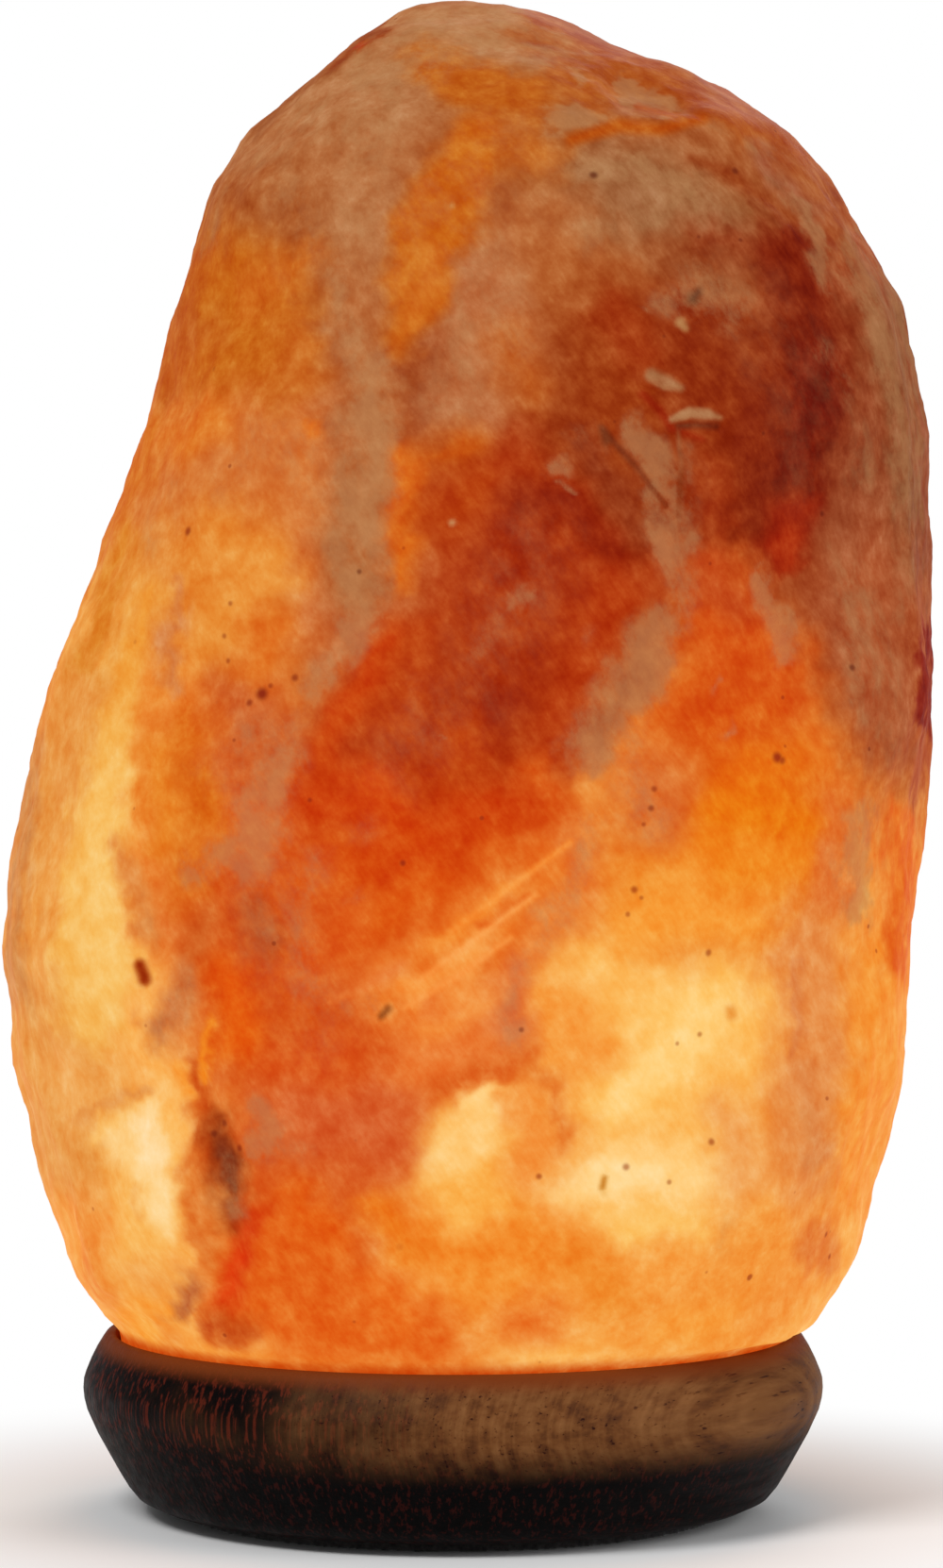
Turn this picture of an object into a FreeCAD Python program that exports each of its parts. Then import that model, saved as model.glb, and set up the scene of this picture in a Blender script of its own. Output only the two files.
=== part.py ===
"""Salt crystal lamp: a hollowed crystal on a turned wooden base, lit by a small screw-in bulb.

Millimetres, +Z up. The origin is on the table, in the middle of the lamp's foot. The camera side is -Y and the
cord leaves at +Y. Every size is a cell of the sheet, and every height is worked out from those cells.
"""
import FreeCAD
import Part
import Sketcher
import math
import os
import re

V = FreeCAD.Vector

# ---------------------------------------------------------------- driving dimensions

SIZES = {
    # wooden base and its felt
    "felt_thickness": 2.0,
    "felt_width": 16.0,
    "base_radius": 62.5,
    "base_height": 28.5,
    "foot_chamfer_run": 3.6,
    "foot_chamfer_rise": 3.0,
    "flare_run": 5.2,
    "flare_rise": 9.0,
    "bulge_run": 2.2,
    "bulge_rise": 7.5,
    "rim_inset": 3.8,
    "rim_width": 2.0,
    "rim_chamfer": 0.5,
    "seat_depth": 3.0,
    "holder_hole_radius": 22.0,
    "plate_recess_radius": 27.0,
    "plate_recess_depth": 12.0,
    "groove_width": 9.0,
    "groove_depth": 8.0,
    "groove_gap": 1.0,
    # screws that hold the crystal to the base
    "screw_inset": 13.5,
    "screw_count": 3,
    "screw_start_angle": 30.0,
    "counterbore_radius": 5.5,
    "counterbore_depth": 6.0,
    "screw_head_radius": 4.0,
    "screw_head_height": 2.6,
    "screw_shank_radius": 1.75,
    "screw_length": 40.0,
    "screw_hole_radius": 2.4,
    "screw_slot_width": 1.0,
    "screw_slot_depth": 1.2,
    "plug_radius": 4.0,
    "plug_length": 22.0,
    "plug_fit": 0.05,
    "plug_hole_spare": 2.0,
    # crystal
    "seat_clearance": 0.4,
    "bore_radius": 29.0,
    "bore_height": 106.0,
    "bore_shoulder_radius": 14.5,
    "bore_shoulder_height": 9.6,
    "bore_dome_height": 12.0,
    # threaded tube, its nut and the plates it clamps
    "nipple_radius": 5.0,
    "nipple_bore_radius": 4.0,
    "nipple_below_nut": 0.5,
    "nut_across_flats": 14.0,
    "nut_height": 3.0,
    "washer_radius": 8.5,
    "washer_thickness": 0.5,
    "hole_fit": 0.15,
    "plate_gap": 1.5,
    "plate_thickness": 1.2,
    "plate_clearance": 0.2,
    "bush_bore_radius": 3.1,
    "bush_fit": 0.05,
    "bush_flange_height": 1.0,
    "bush_length": 9.0,
    # spring clips
    "strip_thickness": 0.6,
    "clip_width": 10.0,
    "bracket_disc_radius": 9.0,
    "clip_hole_gap": 0.9,
    "clip_bow_run": 4.1,
    "clip_gap": 0.05,
    "clip_bend_radius": 2.2,
    "clip_bow_rise": 9.4,
    "clip_bow_height": 1.5,
    "clip_tip_run": 2.8,
    "clip_tip_rise": 10.5,
    # lampholder
    "cap_radius": 13.9,
    "cap_floor": 2.0,
    "cap_height": 15.6,
    "cap_chamfer": 1.0,
    "cap_boss_radius": 8.0,
    "cap_boss_height": 4.6,
    "cap_ledge_radius": 11.0,
    "cap_ledge_height": 9.6,
    "cap_bore_radius": 12.2,
    "collar_height": 3.0,
    "collar_step": 0.7,
    "sleeve_height": 22.0,
    "sleeve_chamfer": 1.0,
    "sleeve_shoulder": 4.0,
    "block_fit": 0.4,
    "terminal_spacing": 13.2,
    "terminal_length": 5.0,
    "terminal_width": 6.4,
    "terminal_height": 7.0,
    "terminal_fit": 0.2,
    "terminal_cover": 2.0,
    "terminal_wire_radius": 1.1,
    "terminal_screw_radius": 1.2,
    "terminal_screw_fit": 0.05,
    "terminal_screw_length": 3.5,
    "terminal_head_radius": 2.2,
    "terminal_head_height": 1.8,
    "terminal_slot_width": 0.6,
    "shell_radius": 7.6,
    "shell_fit": 0.05,
    "shell_thickness": 0.5,
    "shell_height": 16.0,
    "shell_flange_bore": 4.6,
    "contact_half_length": 4.0,
    "contact_half_width": 2.0,
    "contact_foot": 1.3,
    "contact_crown": 1.1,
    "contact_rise": 0.7,
    "contact_thickness": 0.4,
    # bulb
    "bulb_clearance": 0.05,
    "bulb_length": 57.8,
    "bulb_radius": 14.0,
    "glass_thickness": 0.7,
    "neck_radius": 6.2,
    "neck_below_collar": 9.0,
    "swell_height": 24.0,
    "dome_inner_radius": 7.3,
    "dome_inner_drop": 3.1,
    "tip_radius": 2.4,
    "tip_height": 1.3,
    "insulator_radius": 4.55,
    "insulator_cone": 2.0,
    "insulator_depth": 1.1,
    "bulb_cap_radius": 6.9,
    "bulb_cap_wall": 0.3,
    "bulb_cap_cone": 2.15,
    "bulb_cap_straight": 12.6,
    "bulb_collar_radius": 8.4,
    "bulb_collar_flare": 1.0,
    "bulb_collar_height": 1.8,
    "stem_fit": 0.05,
    "stem_flare_height": 5.0,
    "stem_radius": 2.2,
    "stem_height": 14.0,
    "lead_spacing": 2.8,
    "lead_radius": 0.3,
    "lead_straight": 4.0,
    "lead_rise": 12.0,
    "filament_span": 11.0,
    "filament_radius": 0.35,
    "filament_rise": 2.8,
    "filament_gap": 0.05,
}

# The crystal is measured in rings from its seat up: how far each ring is above the one below it, and how far it
# reaches to the left, to the right, to the front and to the back.
CRYSTAL_RINGS = (
    (1.7, 58.0, 61.0, 57.6, 57.4),
    (10.0, 65.2, 68.2, 62.0, 60.5),
    (16.0, 70.8, 73.0, 64.5, 62.0),
    (18.0, 74.4, 76.8, 65.0, 62.5),
    (20.0, 76.5, 77.6, 64.0, 62.5),
    (22.0, 73.2, 80.2, 62.5, 61.5),
    (21.0, 68.4, 81.8, 61.0, 60.0),
    (21.0, 59.6, 80.8, 58.5, 57.0),
    (24.0, 51.4, 80.2, 55.0, 52.0),
    (18.0, 46.4, 76.2, 51.0, 48.0),
    (18.0, 41.4, 66.2, 46.0, 42.0),
    (12.0, 34.2, 56.6, 39.0, 35.0),
    (9.0, 23.6, 42.2, 28.0, 26.0),
    (7.0, 15.6, 24.0, 17.0, 16.0),
    (4.4, 8.8, 12.2, 9.0, 8.0),
)
RING_WORDS = ("rise", "left", "right", "front", "back")
for ring_number, ring in enumerate(CRYSTAL_RINGS, 1):
    for ring_word, reach in zip(RING_WORDS, ring):
        SIZES[f"crystal_{ring_word}_{ring_number}"] = reach
SIZES["crystal_peak"] = 1.6
SIZES["crystal_sides"] = 24
SIZES["crystal_chip"] = 0.035
SIZES["crystal_swell"] = 0.03

# How far the pattern of chips turns from one ring to the next and from one corner to the next.
CHIP_STEP_UP = 2.3
CHIP_STEP_ROUND = 5.1

# Heights and radii that follow from the sizes, each written once.
PLACES = {
    "base_bottom": "felt_thickness",
    "base_top": "base_bottom + base_height",
    "seat_floor": "base_top - seat_depth",
    "flare_bottom": "base_bottom + foot_chamfer_rise",
    "flare_top": "flare_bottom + flare_rise",
    "rim_radius": "base_radius - rim_inset",
    "seat_radius": "rim_radius - rim_width",
    "flare_top_radius": "base_radius - bulge_run",
    "flare_bottom_radius": "flare_top_radius - flare_run",
    "foot_radius": "flare_bottom_radius - foot_chamfer_run",
    "screw_circle": "foot_radius - screw_inset",
    "felt_inner_radius": "screw_circle - felt_width / 2",
    "felt_outer_radius": "screw_circle + felt_width / 2",
    "recess_ceiling": "base_bottom + plate_recess_depth",
    "groove_ceiling": "base_bottom + groove_depth",
    "counterbore_ceiling": "base_bottom + counterbore_depth",
    "spigot_reach": "seat_radius - seat_clearance",
    "bore_top": "seat_floor + bore_height",
    "plate_radius": "plate_recess_radius - plate_gap",
    "plate_top": "recess_ceiling - plate_clearance",
    "plate_bottom": "plate_top - plate_thickness",
    "washer_bottom": "plate_bottom - washer_thickness",
    "nut_bottom": "washer_bottom - nut_height",
    "nipple_bottom": "nut_bottom - nipple_below_nut",
    "bush_bottom": "nipple_bottom - bush_flange_height",
    "cap_bottom": "plate_top + strip_thickness",
    "cap_top": "cap_bottom + cap_height",
    "block_bottom": "cap_bottom + cap_ledge_height",
    "block_top": "cap_top + sleeve_shoulder",
    "sleeve_top": "cap_top + sleeve_height",
    "nipple_top": "cap_bottom + cap_boss_height",
    "hole_radius": "nipple_radius + hole_fit",
    "clip_bow": "holder_hole_radius - clip_hole_gap",
    "clip_reach": "clip_bow - clip_bow_run",
    "clip_tip": "clip_bow - clip_tip_run",
    "hinge_height": "plate_top + strip_thickness + clip_bend_radius",
    "bow_height": "hinge_height + clip_bow_rise",
    "bow_top": "bow_height + clip_bow_height",
    "tip_height_of_clip": "bow_top + clip_tip_rise",
    "sleeve_bore_radius": "shell_radius + shell_fit",
    "terminal_top": "block_top - terminal_cover",
    "terminal_bottom": "terminal_top - terminal_height",
    "contact_top": "block_top + contact_rise + contact_thickness",
    "bulb_bottom": "contact_top + bulb_clearance",
    "bulb_top": "bulb_bottom + bulb_length",
    "insulator_bottom": "bulb_bottom + tip_height",
    "bulb_cap_bottom": "insulator_bottom + insulator_cone",
    "bulb_cap_shoulder": "bulb_cap_bottom + bulb_cap_cone",
    "bulb_collar_bottom": "bulb_cap_shoulder + bulb_cap_straight",
    "bulb_collar_shoulder": "bulb_collar_bottom + bulb_collar_flare",
    "bulb_cap_top": "bulb_collar_shoulder + bulb_collar_height",
    "neck_bottom": "bulb_cap_top - neck_below_collar",
    "dome_height": "bulb_top - bulb_radius",
    "swell_bottom": "dome_height - swell_height",
    "swell_middle": "dome_height - swell_height / 2",
    "swell_middle_radius": "(neck_radius + bulb_radius) / 2",
    "stem_top": "neck_bottom + stem_height",
    "lead_top": "stem_top + lead_rise",
}


def bound(text):
    """The text of an expression over the sheet, with every place written out in sizes."""
    def cell(match):
        word = match[0]
        if word in SIZES:
            return "Sizes." + word
        return f"({bound(PLACES[word])})" if word in PLACES else word
    return re.sub(r"[a-z_][a-z0-9_]*", cell, text)


def number(text):
    """What an expression over the sheet comes to now."""
    return float(sheet.evalExpression(bound(text)))


def steps_round(count):
    return [2 * math.pi * step / count for step in range(count)]


# ---------------------------------------------------------------- ways of building

def new_body(label):
    body = doc.addObject("PartDesign::Body", label)
    body.Label = label
    body.AllowCompound = True
    return body


def new_sketch(body, name, plane, height="0"):
    """A sketch on one of the body's own origin planes, raised along that plane's normal."""
    sketch = body.newObject("Sketcher::SketchObject", f"{body.Name}_{name}")
    support = next(item for item in body.Origin.OriginFeatures if item.Role == plane)
    sketch.AttachmentSupport = (support, [""])
    sketch.MapMode = "FlatFace"
    if height != "0":
        sketch.setExpression("AttachmentOffset.Base.z", bound(height))
    return sketch


def fix_point(sketch, geometry, spot, x, y):
    """Dimension a point from the sketch's origin, or lay it on the axis where a coordinate is nothing."""
    for kind, text, axis in (("DistanceX", x, -2), ("DistanceY", y, -1)):
        if text == "0":
            sketch.addConstraint(Sketcher.Constraint("PointOnObject", geometry, spot, axis))
        else:
            row = sketch.addConstraint(Sketcher.Constraint(kind, -1, 1, geometry, spot, number(text)))
            sketch.setExpression(f"Constraints[{row}]", bound(text))


def arc_centre(start, end, kind):
    """The centre of an arc that is upright or level at its start or its end."""
    pivot, other = (start, end) if kind.endswith("start") else (end, start)
    across, up = other.x - pivot.x, other.y - pivot.y
    if kind.startswith("upright"):
        return V(pivot.x + (across ** 2 + up ** 2) / (2 * across), pivot.y, 0)
    return V(pivot.x, pivot.y + (across ** 2 + up ** 2) / (2 * up), 0)


def add_stretch(sketch, start, end, kind):
    """Draw one stretch of an outline, and say which of its two ends the sketch calls first."""
    if not kind:
        return sketch.addGeometry(Part.LineSegment(start, end), False), 1, 2
    centre = arc_centre(start, end, kind)
    radius = (start - centre).Length
    middle = centre + ((start + end) * 0.5 - centre).normalize() * radius
    turns_left = (start - centre).cross(end - centre).z > 0
    row = sketch.addGeometry(Part.Arc(start, middle, end), False)
    return (row, 1, 2) if turns_left else (row, 2, 1)


def draw_outline(sketch, corners):
    """A closed outline through corners (x, y) or (x, y, kind), where kind bends the stretch that arrives there."""
    points = [V(number(corner[0]), number(corner[1]), 0) for corner in corners]
    kinds = [corner[2] if len(corner) > 2 else "" for corner in corners]
    stretches = [add_stretch(sketch, points[i - 1], points[i], kinds[i]) for i in range(len(points))]
    for i, (row, first, last) in enumerate(stretches):
        next_row, next_first, _ = stretches[(i + 1) % len(stretches)]
        sketch.addConstraint(Sketcher.Constraint("Coincident", row, last, next_row, next_first))
        fix_point(sketch, row, last, corners[i][0], corners[i][1])
        if kinds[i]:
            line_up = "Horizontal" if kinds[i].startswith("upright") else "Vertical"
            spot = first if kinds[i].endswith("start") else last
            sketch.addConstraint(Sketcher.Constraint(line_up, row, 3, row, spot))
    return sketch


def draw_rectangle(sketch, left, right, bottom, top):
    return draw_outline(sketch, [(left, bottom), (right, bottom), (right, top), (left, top)])


def draw_circle(sketch, radius, x="0", y="0"):
    row = sketch.addGeometry(Part.Circle(V(number(x), number(y), 0), V(0, 0, 1), number(radius)), False)
    fix_point(sketch, row, 3, x, y)
    size = sketch.addConstraint(Sketcher.Constraint("Radius", row, number(radius)))
    sketch.setExpression(f"Constraints[{size}]", bound(radius))
    return sketch


def revolve(body, name, corners):
    """Turn an outline of (radius, height) corners about the lamp's axis."""
    sketch = draw_outline(new_sketch(body, name + "_outline", "XZ_Plane"), corners)
    turned = body.newObject("PartDesign::Revolution", f"{body.Name}_{name}")
    turned.Profile = (sketch, [""])
    turned.ReferenceAxis = (sketch, ["V_Axis"])
    turned.Angle = 360.0
    return turned


def extrude(body, name, sketch, kind, length, both_ways=False):
    """A Pad or a Pocket of a sketch by a length from the sheet."""
    feature = body.newObject("PartDesign::" + kind, f"{body.Name}_{name}")
    feature.Profile = (sketch, [""])
    feature.setExpression("Length", bound(length))
    feature.Midplane = both_ways
    return feature


def repeat_round(body, features, count):
    """Repeat features evenly about the lamp's axis."""
    pattern = body.newObject("PartDesign::PolarPattern", f"{body.Name}_round")
    pattern.Originals = features
    axis = next(item for item in body.Origin.OriginFeatures if item.Role == "Z_Axis")
    pattern.Axis = (axis, [""])
    pattern.Angle = 360.0
    pattern.setExpression("Occurrences", bound(count))
    body.Tip = pattern
    return pattern


def ring_plate(label, bore, outer, bottom, thickness):
    """A flat ring, such as a washer."""
    body = new_body(label)
    sketch = new_sketch(body, "ring", "XY_Plane", bottom)
    draw_circle(sketch, outer)
    draw_circle(sketch, bore)
    extrude(body, "plate", sketch, "Pad", thickness)
    return body


def wire_along(points, radius):
    """A round wire along straight runs, mitred where they meet."""
    path = Part.makePolygon(points)
    section = Part.Wire(Part.makeCircle(radius, points[0], points[1] - points[0]))
    return path.makePipeShell([section], True, False, 1)


def shape_part(label, shape):
    part = doc.addObject("Part::Feature", label)
    part.Shape = shape
    part.Label = label
    part.Placement = FreeCAD.Placement()
    return part


# ---------------------------------------------------------------- wooden base

def make_felt_ring():
    """A felt ring under the base, open at the back for the cord and holed for the screws."""
    body = ring_plate("felt_ring", "felt_inner_radius", "felt_outer_radius", "0", "felt_thickness")
    half_gap = "groove_width / 2 + groove_gap"
    gap = new_sketch(body, "gap", "XY_Plane", "felt_thickness")
    draw_rectangle(gap, f"-({half_gap})", half_gap, "felt_inner_radius / 2", "felt_outer_radius * 1.1")
    extrude(body, "gap_cut", gap, "Pocket", "felt_thickness * 2")
    hole = new_sketch(body, "hole", "XY_Plane", "felt_thickness")
    draw_circle(hole, "counterbore_radius", *screw_place())
    hole_cut = extrude(body, "hole_cut", hole, "Pocket", "felt_thickness * 2")
    repeat_round(body, [hole_cut], "screw_count")
    return body


def screw_place():
    """Where the first screw stands, as the two coordinates of a sketch on the ground plane."""
    return "screw_circle * cos(screw_start_angle * 1deg)", "screw_circle * sin(screw_start_angle * 1deg)"


def make_wood_base():
    """The turned base: a foot, a flared side, a rounded bulge and a rim round the crystal's seat."""
    body = new_body("wood_base")
    revolve(body, "turned", [
        ("holder_hole_radius", "recess_ceiling"),
        ("plate_recess_radius", "recess_ceiling"),
        ("plate_recess_radius", "base_bottom"),
        ("foot_radius", "base_bottom"),
        ("flare_bottom_radius", "flare_bottom"),
        ("flare_top_radius", "flare_top"),
        ("base_radius", "flare_top + bulge_rise", "upright_end"),
        ("rim_radius", "base_top - rim_chamfer", "upright_start"),
        ("rim_radius - rim_chamfer", "base_top"),
        ("seat_radius + rim_chamfer", "base_top"),
        ("seat_radius", "base_top - rim_chamfer"),
        ("seat_radius", "seat_floor"),
        ("holder_hole_radius", "seat_floor"),
    ])
    groove = new_sketch(body, "groove", "XY_Plane", "groove_ceiling")
    draw_rectangle(groove, "-groove_width / 2", "groove_width / 2", "holder_hole_radius", "base_radius * 1.1")
    extrude(body, "groove_cut", groove, "Pocket", "groove_depth * 2")
    hole = new_sketch(body, "hole", "XY_Plane", "base_top")
    draw_circle(hole, "screw_hole_radius", *screw_place())
    hole_cut = extrude(body, "hole_cut", hole, "Pocket", "base_height * 2")
    counterbore = new_sketch(body, "counterbore", "XY_Plane", "counterbore_ceiling")
    draw_circle(counterbore, "counterbore_radius", *screw_place())
    counterbore_cut = extrude(body, "counterbore_cut", counterbore, "Pocket", "counterbore_depth * 2")
    repeat_round(body, [hole_cut, counterbore_cut], "screw_count")
    return body


def make_base_screws():
    """Round-headed wood screws, from the counterbores up into the plugs."""
    body = new_body("base_screws")
    x, y = screw_place()
    head = new_sketch(body, "head", "XY_Plane", "counterbore_ceiling - screw_head_height")
    draw_circle(head, "screw_head_radius", x, y)
    head_pad = extrude(body, "head_pad", head, "Pad", "screw_head_height")
    shank = new_sketch(body, "shank", "XY_Plane", "counterbore_ceiling")
    draw_circle(shank, "screw_shank_radius", x, y)
    shank_pad = extrude(body, "shank_pad", shank, "Pad", "screw_length")
    slot = new_sketch(body, "slot", "XY_Plane", "counterbore_ceiling - screw_head_height + screw_slot_depth")
    draw_rectangle(slot, f"{x} - screw_head_radius * 2", f"{x} + screw_head_radius * 2",
                   f"{y} - screw_slot_width / 2", f"{y} + screw_slot_width / 2")
    slot_cut = extrude(body, "slot_cut", slot, "Pocket", "screw_slot_depth * 2")
    repeat_round(body, [head_pad, shank_pad, slot_cut], "screw_count")
    return body


def make_wall_plugs():
    """Plastic plugs set in the crystal, which the screws bite into."""
    body = new_body("wall_plugs")
    sketch = new_sketch(body, "plug", "XY_Plane", "seat_floor")
    draw_circle(sketch, "plug_radius", *screw_place())
    draw_circle(sketch, "screw_shank_radius + plug_fit", *screw_place())
    plug = extrude(body, "plug_pad", sketch, "Pad", "plug_length")
    repeat_round(body, [plug], "screw_count")
    return body


# ---------------------------------------------------------------- crystal

def crystal_corner(level, side, sides, height, reaches):
    """One corner of a ring: on an oval of four reaches, moved in or out a little as if chipped."""
    left, right, front, back = reaches
    angle = 2 * math.pi * side / sides
    across, along = math.cos(angle), math.sin(angle)
    oval = 1 / math.hypot(across / (right if across > 0 else left), along / (back if along > 0 else front))
    between = math.sin(2 * angle) ** 2
    pattern = math.sin(CHIP_STEP_UP * level + CHIP_STEP_ROUND * side)
    chip = number("crystal_swell") + number("crystal_chip") * pattern
    reach = oval * (1 + between * chip)
    return V(reach * across, reach * along, height)


def crystal_rings():
    """The rings of corners, from the flat seat up to the top."""
    sides = int(number("crystal_sides"))
    height = number("seat_floor")
    spigot = number("spigot_reach")
    rings = []
    for bottom in (height, number("base_top") + number("seat_clearance")):
        rings.append([V(spigot * math.cos(a), spigot * math.sin(a), bottom) for a in steps_round(sides)])
    height = number("base_top") + number("seat_clearance")
    for level in range(1, len(CRYSTAL_RINGS) + 1):
        height += number(f"crystal_rise_{level}")
        reaches = [number(f"crystal_{word}_{level}") for word in RING_WORDS[1:]]
        rings.append([crystal_corner(level, side, sides, height, reaches) for side in range(sides)])
    return rings


def facets_between(lower, upper):
    """Two flat facets for each step round, split along the diagonal that stands further out."""
    facets = []
    for side in range(len(lower)):
        a, b = lower[side - 1], lower[side]
        c, d = upper[side], upper[side - 1]
        rising, falling = (a + c) * 0.5, (b + d) * 0.5
        if math.hypot(rising.x, rising.y) > math.hypot(falling.x, falling.y):
            facets += [(a, b, c), (a, c, d)]
        else:
            facets += [(a, b, d), (b, c, d)]
    return facets


def make_crystal_block():
    """The rough block of salt: flat facets between the rings, a flat seat and a low peak."""
    rings = crystal_rings()
    facets = []
    for lower, upper in zip(rings, rings[1:]):
        facets += facets_between(lower, upper)
    peak = V(0, 0, rings[-1][0].z + number("crystal_peak"))
    facets += [(rings[-1][side - 1], rings[-1][side], peak) for side in range(len(rings[-1]))]
    faces = [Part.Face(Part.makePolygon([*facet, facet[0]])) for facet in facets]
    faces.append(Part.Face(Part.makePolygon([*rings[0], rings[0][0]])))
    block = Part.Solid(Part.makeShell(faces))
    if block.Volume < 0:
        block.reverse()
    return shape_part("crystal_block", block)


def make_salt_crystal():
    """The block, bored from below for the bulb and drilled for the plugs."""
    block = make_crystal_block()
    bore = new_body("crystal_bore")
    revolve(bore, "turned", [
        ("0", "seat_floor - 1"),
        ("bore_radius", "seat_floor - 1"),
        ("bore_radius", "bore_top"),
        ("bore_shoulder_radius", "bore_top + bore_shoulder_height"),
        ("0", "bore_top + bore_dome_height"),
    ])
    holes = new_body("plug_holes")
    sketch = new_sketch(holes, "hole", "XY_Plane", "seat_floor - 1")
    draw_circle(sketch, "plug_radius + plug_fit", *screw_place())
    hole = extrude(holes, "hole_pad", sketch, "Pad", "plug_length + plug_hole_spare + 1")
    repeat_round(holes, [hole], "screw_count")
    bored = doc.addObject("Part::Cut", "crystal_bored")
    bored.Base, bored.Tool = block, bore
    crystal = doc.addObject("Part::Cut", "salt_crystal")
    crystal.Base, crystal.Tool = bored, holes
    crystal.Label = "salt_crystal"
    return crystal


# ---------------------------------------------------------------- threaded tube and clips

def make_nipple():
    """The threaded tube that carries the lampholder and lets the cord through."""
    body = new_body("nipple")
    revolve(body, "tube", [
        ("nipple_bore_radius", "nipple_bottom"), ("nipple_radius", "nipple_bottom"),
        ("nipple_radius", "nipple_top"), ("nipple_bore_radius", "nipple_top"),
    ])
    return body


def make_inlet_bush():
    """A plastic bush in the lower mouth of the tube, where the cord goes in."""
    body = new_body("inlet_bush")
    sleeve = "nipple_bore_radius - bush_fit"
    revolve(body, "sleeve", [
        ("bush_bore_radius", "bush_bottom"), ("nipple_radius", "bush_bottom"),
        ("nipple_radius", "nipple_bottom"), (sleeve, "nipple_bottom"),
        (sleeve, "bush_bottom + bush_length"), ("bush_bore_radius", "bush_bottom + bush_length"),
    ])
    return body


def make_nipple_nut():
    body = new_body("nipple_nut")
    sketch = new_sketch(body, "hexagon", "XY_Plane", "nut_bottom")
    corner, half_side, flat = ("nut_across_flats / sqrt(3)", "nut_across_flats / sqrt(12)", "nut_across_flats / 2")
    draw_outline(sketch, [
        (corner, "0"), (half_side, flat), ("-" + half_side, flat),
        ("-" + corner, "0"), ("-" + half_side, "-" + flat), (half_side, "-" + flat),
    ])
    draw_circle(sketch, "hole_radius")
    extrude(body, "plate", sketch, "Pad", "nut_height")
    return body


def make_clip_bracket():
    """A strip whose two ends carry the spring clips, widened to a disc where the tube passes."""
    body = new_body("clip_bracket")
    disc = draw_circle(new_sketch(body, "disc", "XY_Plane", "plate_top"), "bracket_disc_radius")
    extrude(body, "disc_pad", disc, "Pad", "strip_thickness")
    end = "clip_reach - clip_gap"
    strip = new_sketch(body, "strip", "XY_Plane", "plate_top")
    draw_rectangle(strip, f"-({end})", end, "-clip_width / 2", "clip_width / 2")
    extrude(body, "strip_pad", strip, "Pad", "strip_thickness")
    hole = draw_circle(new_sketch(body, "hole", "XY_Plane", "cap_bottom"), "hole_radius")
    extrude(body, "hole_cut", hole, "Pocket", "strip_thickness * 2")
    return body


def make_clip(label, turn):
    """A bowed spring strip that bends about the end of the bracket and grips inside the base."""
    body = new_body(label)
    sketch = new_sketch(body, "strip", "XZ_Plane")
    draw_outline(sketch, [
        ("clip_reach", "plate_top"),
        ("clip_reach + clip_bend_radius + strip_thickness", "hinge_height", "level_start"),
        ("clip_bow", "bow_height"),
        ("clip_bow", "bow_top"),
        ("clip_tip", "tip_height_of_clip"),
        ("clip_tip - strip_thickness", "tip_height_of_clip"),
        ("clip_bow - strip_thickness", "bow_top"),
        ("clip_bow - strip_thickness", "bow_height"),
        ("clip_reach + clip_bend_radius", "hinge_height"),
        ("clip_reach", "plate_top + strip_thickness", "upright_start"),
    ])
    extrude(body, "spring", sketch, "Pad", "clip_width", both_ways=True)
    body.Placement = FreeCAD.Placement(V(), FreeCAD.Rotation(V(0, 0, 1), turn))
    return body


# ---------------------------------------------------------------- lampholder

def make_holder_cap():
    """The lower half of the lampholder: a cup on the tube, with a ledge under the contact block."""
    body = new_body("holder_cap")
    revolve(body, "turned", [
        ("hole_radius", "cap_bottom"),
        ("cap_radius - cap_chamfer", "cap_bottom"),
        ("cap_radius", "cap_bottom + cap_chamfer"),
        ("cap_radius", "cap_top"),
        ("cap_bore_radius", "cap_top"),
        ("cap_bore_radius", "block_bottom"),
        ("cap_ledge_radius", "block_bottom"),
        ("cap_ledge_radius", "cap_bottom + cap_floor"),
        ("cap_boss_radius", "cap_bottom + cap_floor"),
        ("cap_boss_radius", "cap_bottom + cap_boss_height"),
        ("hole_radius", "cap_bottom + cap_boss_height"),
    ])
    return body


def make_holder_body():
    """The upper half of the lampholder: a sleeve round the screw shell, with a lead-in for the bulb."""
    body = new_body("holder_body")
    sleeve = "cap_radius - collar_step"
    revolve(body, "turned", [
        ("cap_bore_radius", "cap_top"),
        ("cap_radius", "cap_top"),
        ("cap_radius", "cap_top + collar_height - collar_step"),
        (sleeve, "cap_top + collar_height"),
        (sleeve, "sleeve_top - sleeve_chamfer"),
        (f"{sleeve} - sleeve_chamfer", "sleeve_top"),
        ("sleeve_bore_radius + sleeve_chamfer", "sleeve_top"),
        ("sleeve_bore_radius", "sleeve_top - sleeve_chamfer"),
        ("sleeve_bore_radius", "block_top"),
        ("cap_bore_radius", "block_top"),
    ])
    return body


def terminal_rectangle(sketch, spare):
    draw_rectangle(sketch, f"(terminal_spacing - terminal_length) / 2 - {spare}",
                   f"(terminal_spacing + terminal_length) / 2 + {spare}",
                   f"-terminal_width / 2 - {spare}", f"terminal_width / 2 + {spare}")
    return sketch


def make_contact_block():
    """The insulating block that carries the contacts, with a pocket for each terminal."""
    body = new_body("contact_block")
    sketch = new_sketch(body, "disc", "XY_Plane", "block_bottom")
    draw_circle(sketch, "cap_bore_radius - block_fit")
    extrude(body, "disc_pad", sketch, "Pad", "block_top - block_bottom")
    pocket = terminal_rectangle(new_sketch(body, "pocket", "XY_Plane", "terminal_top"), "terminal_fit")
    pocket_cut = extrude(body, "pocket_cut", pocket, "Pocket", "terminal_top - block_bottom + 1")
    repeat_round(body, [pocket_cut], "2")
    return body


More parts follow.
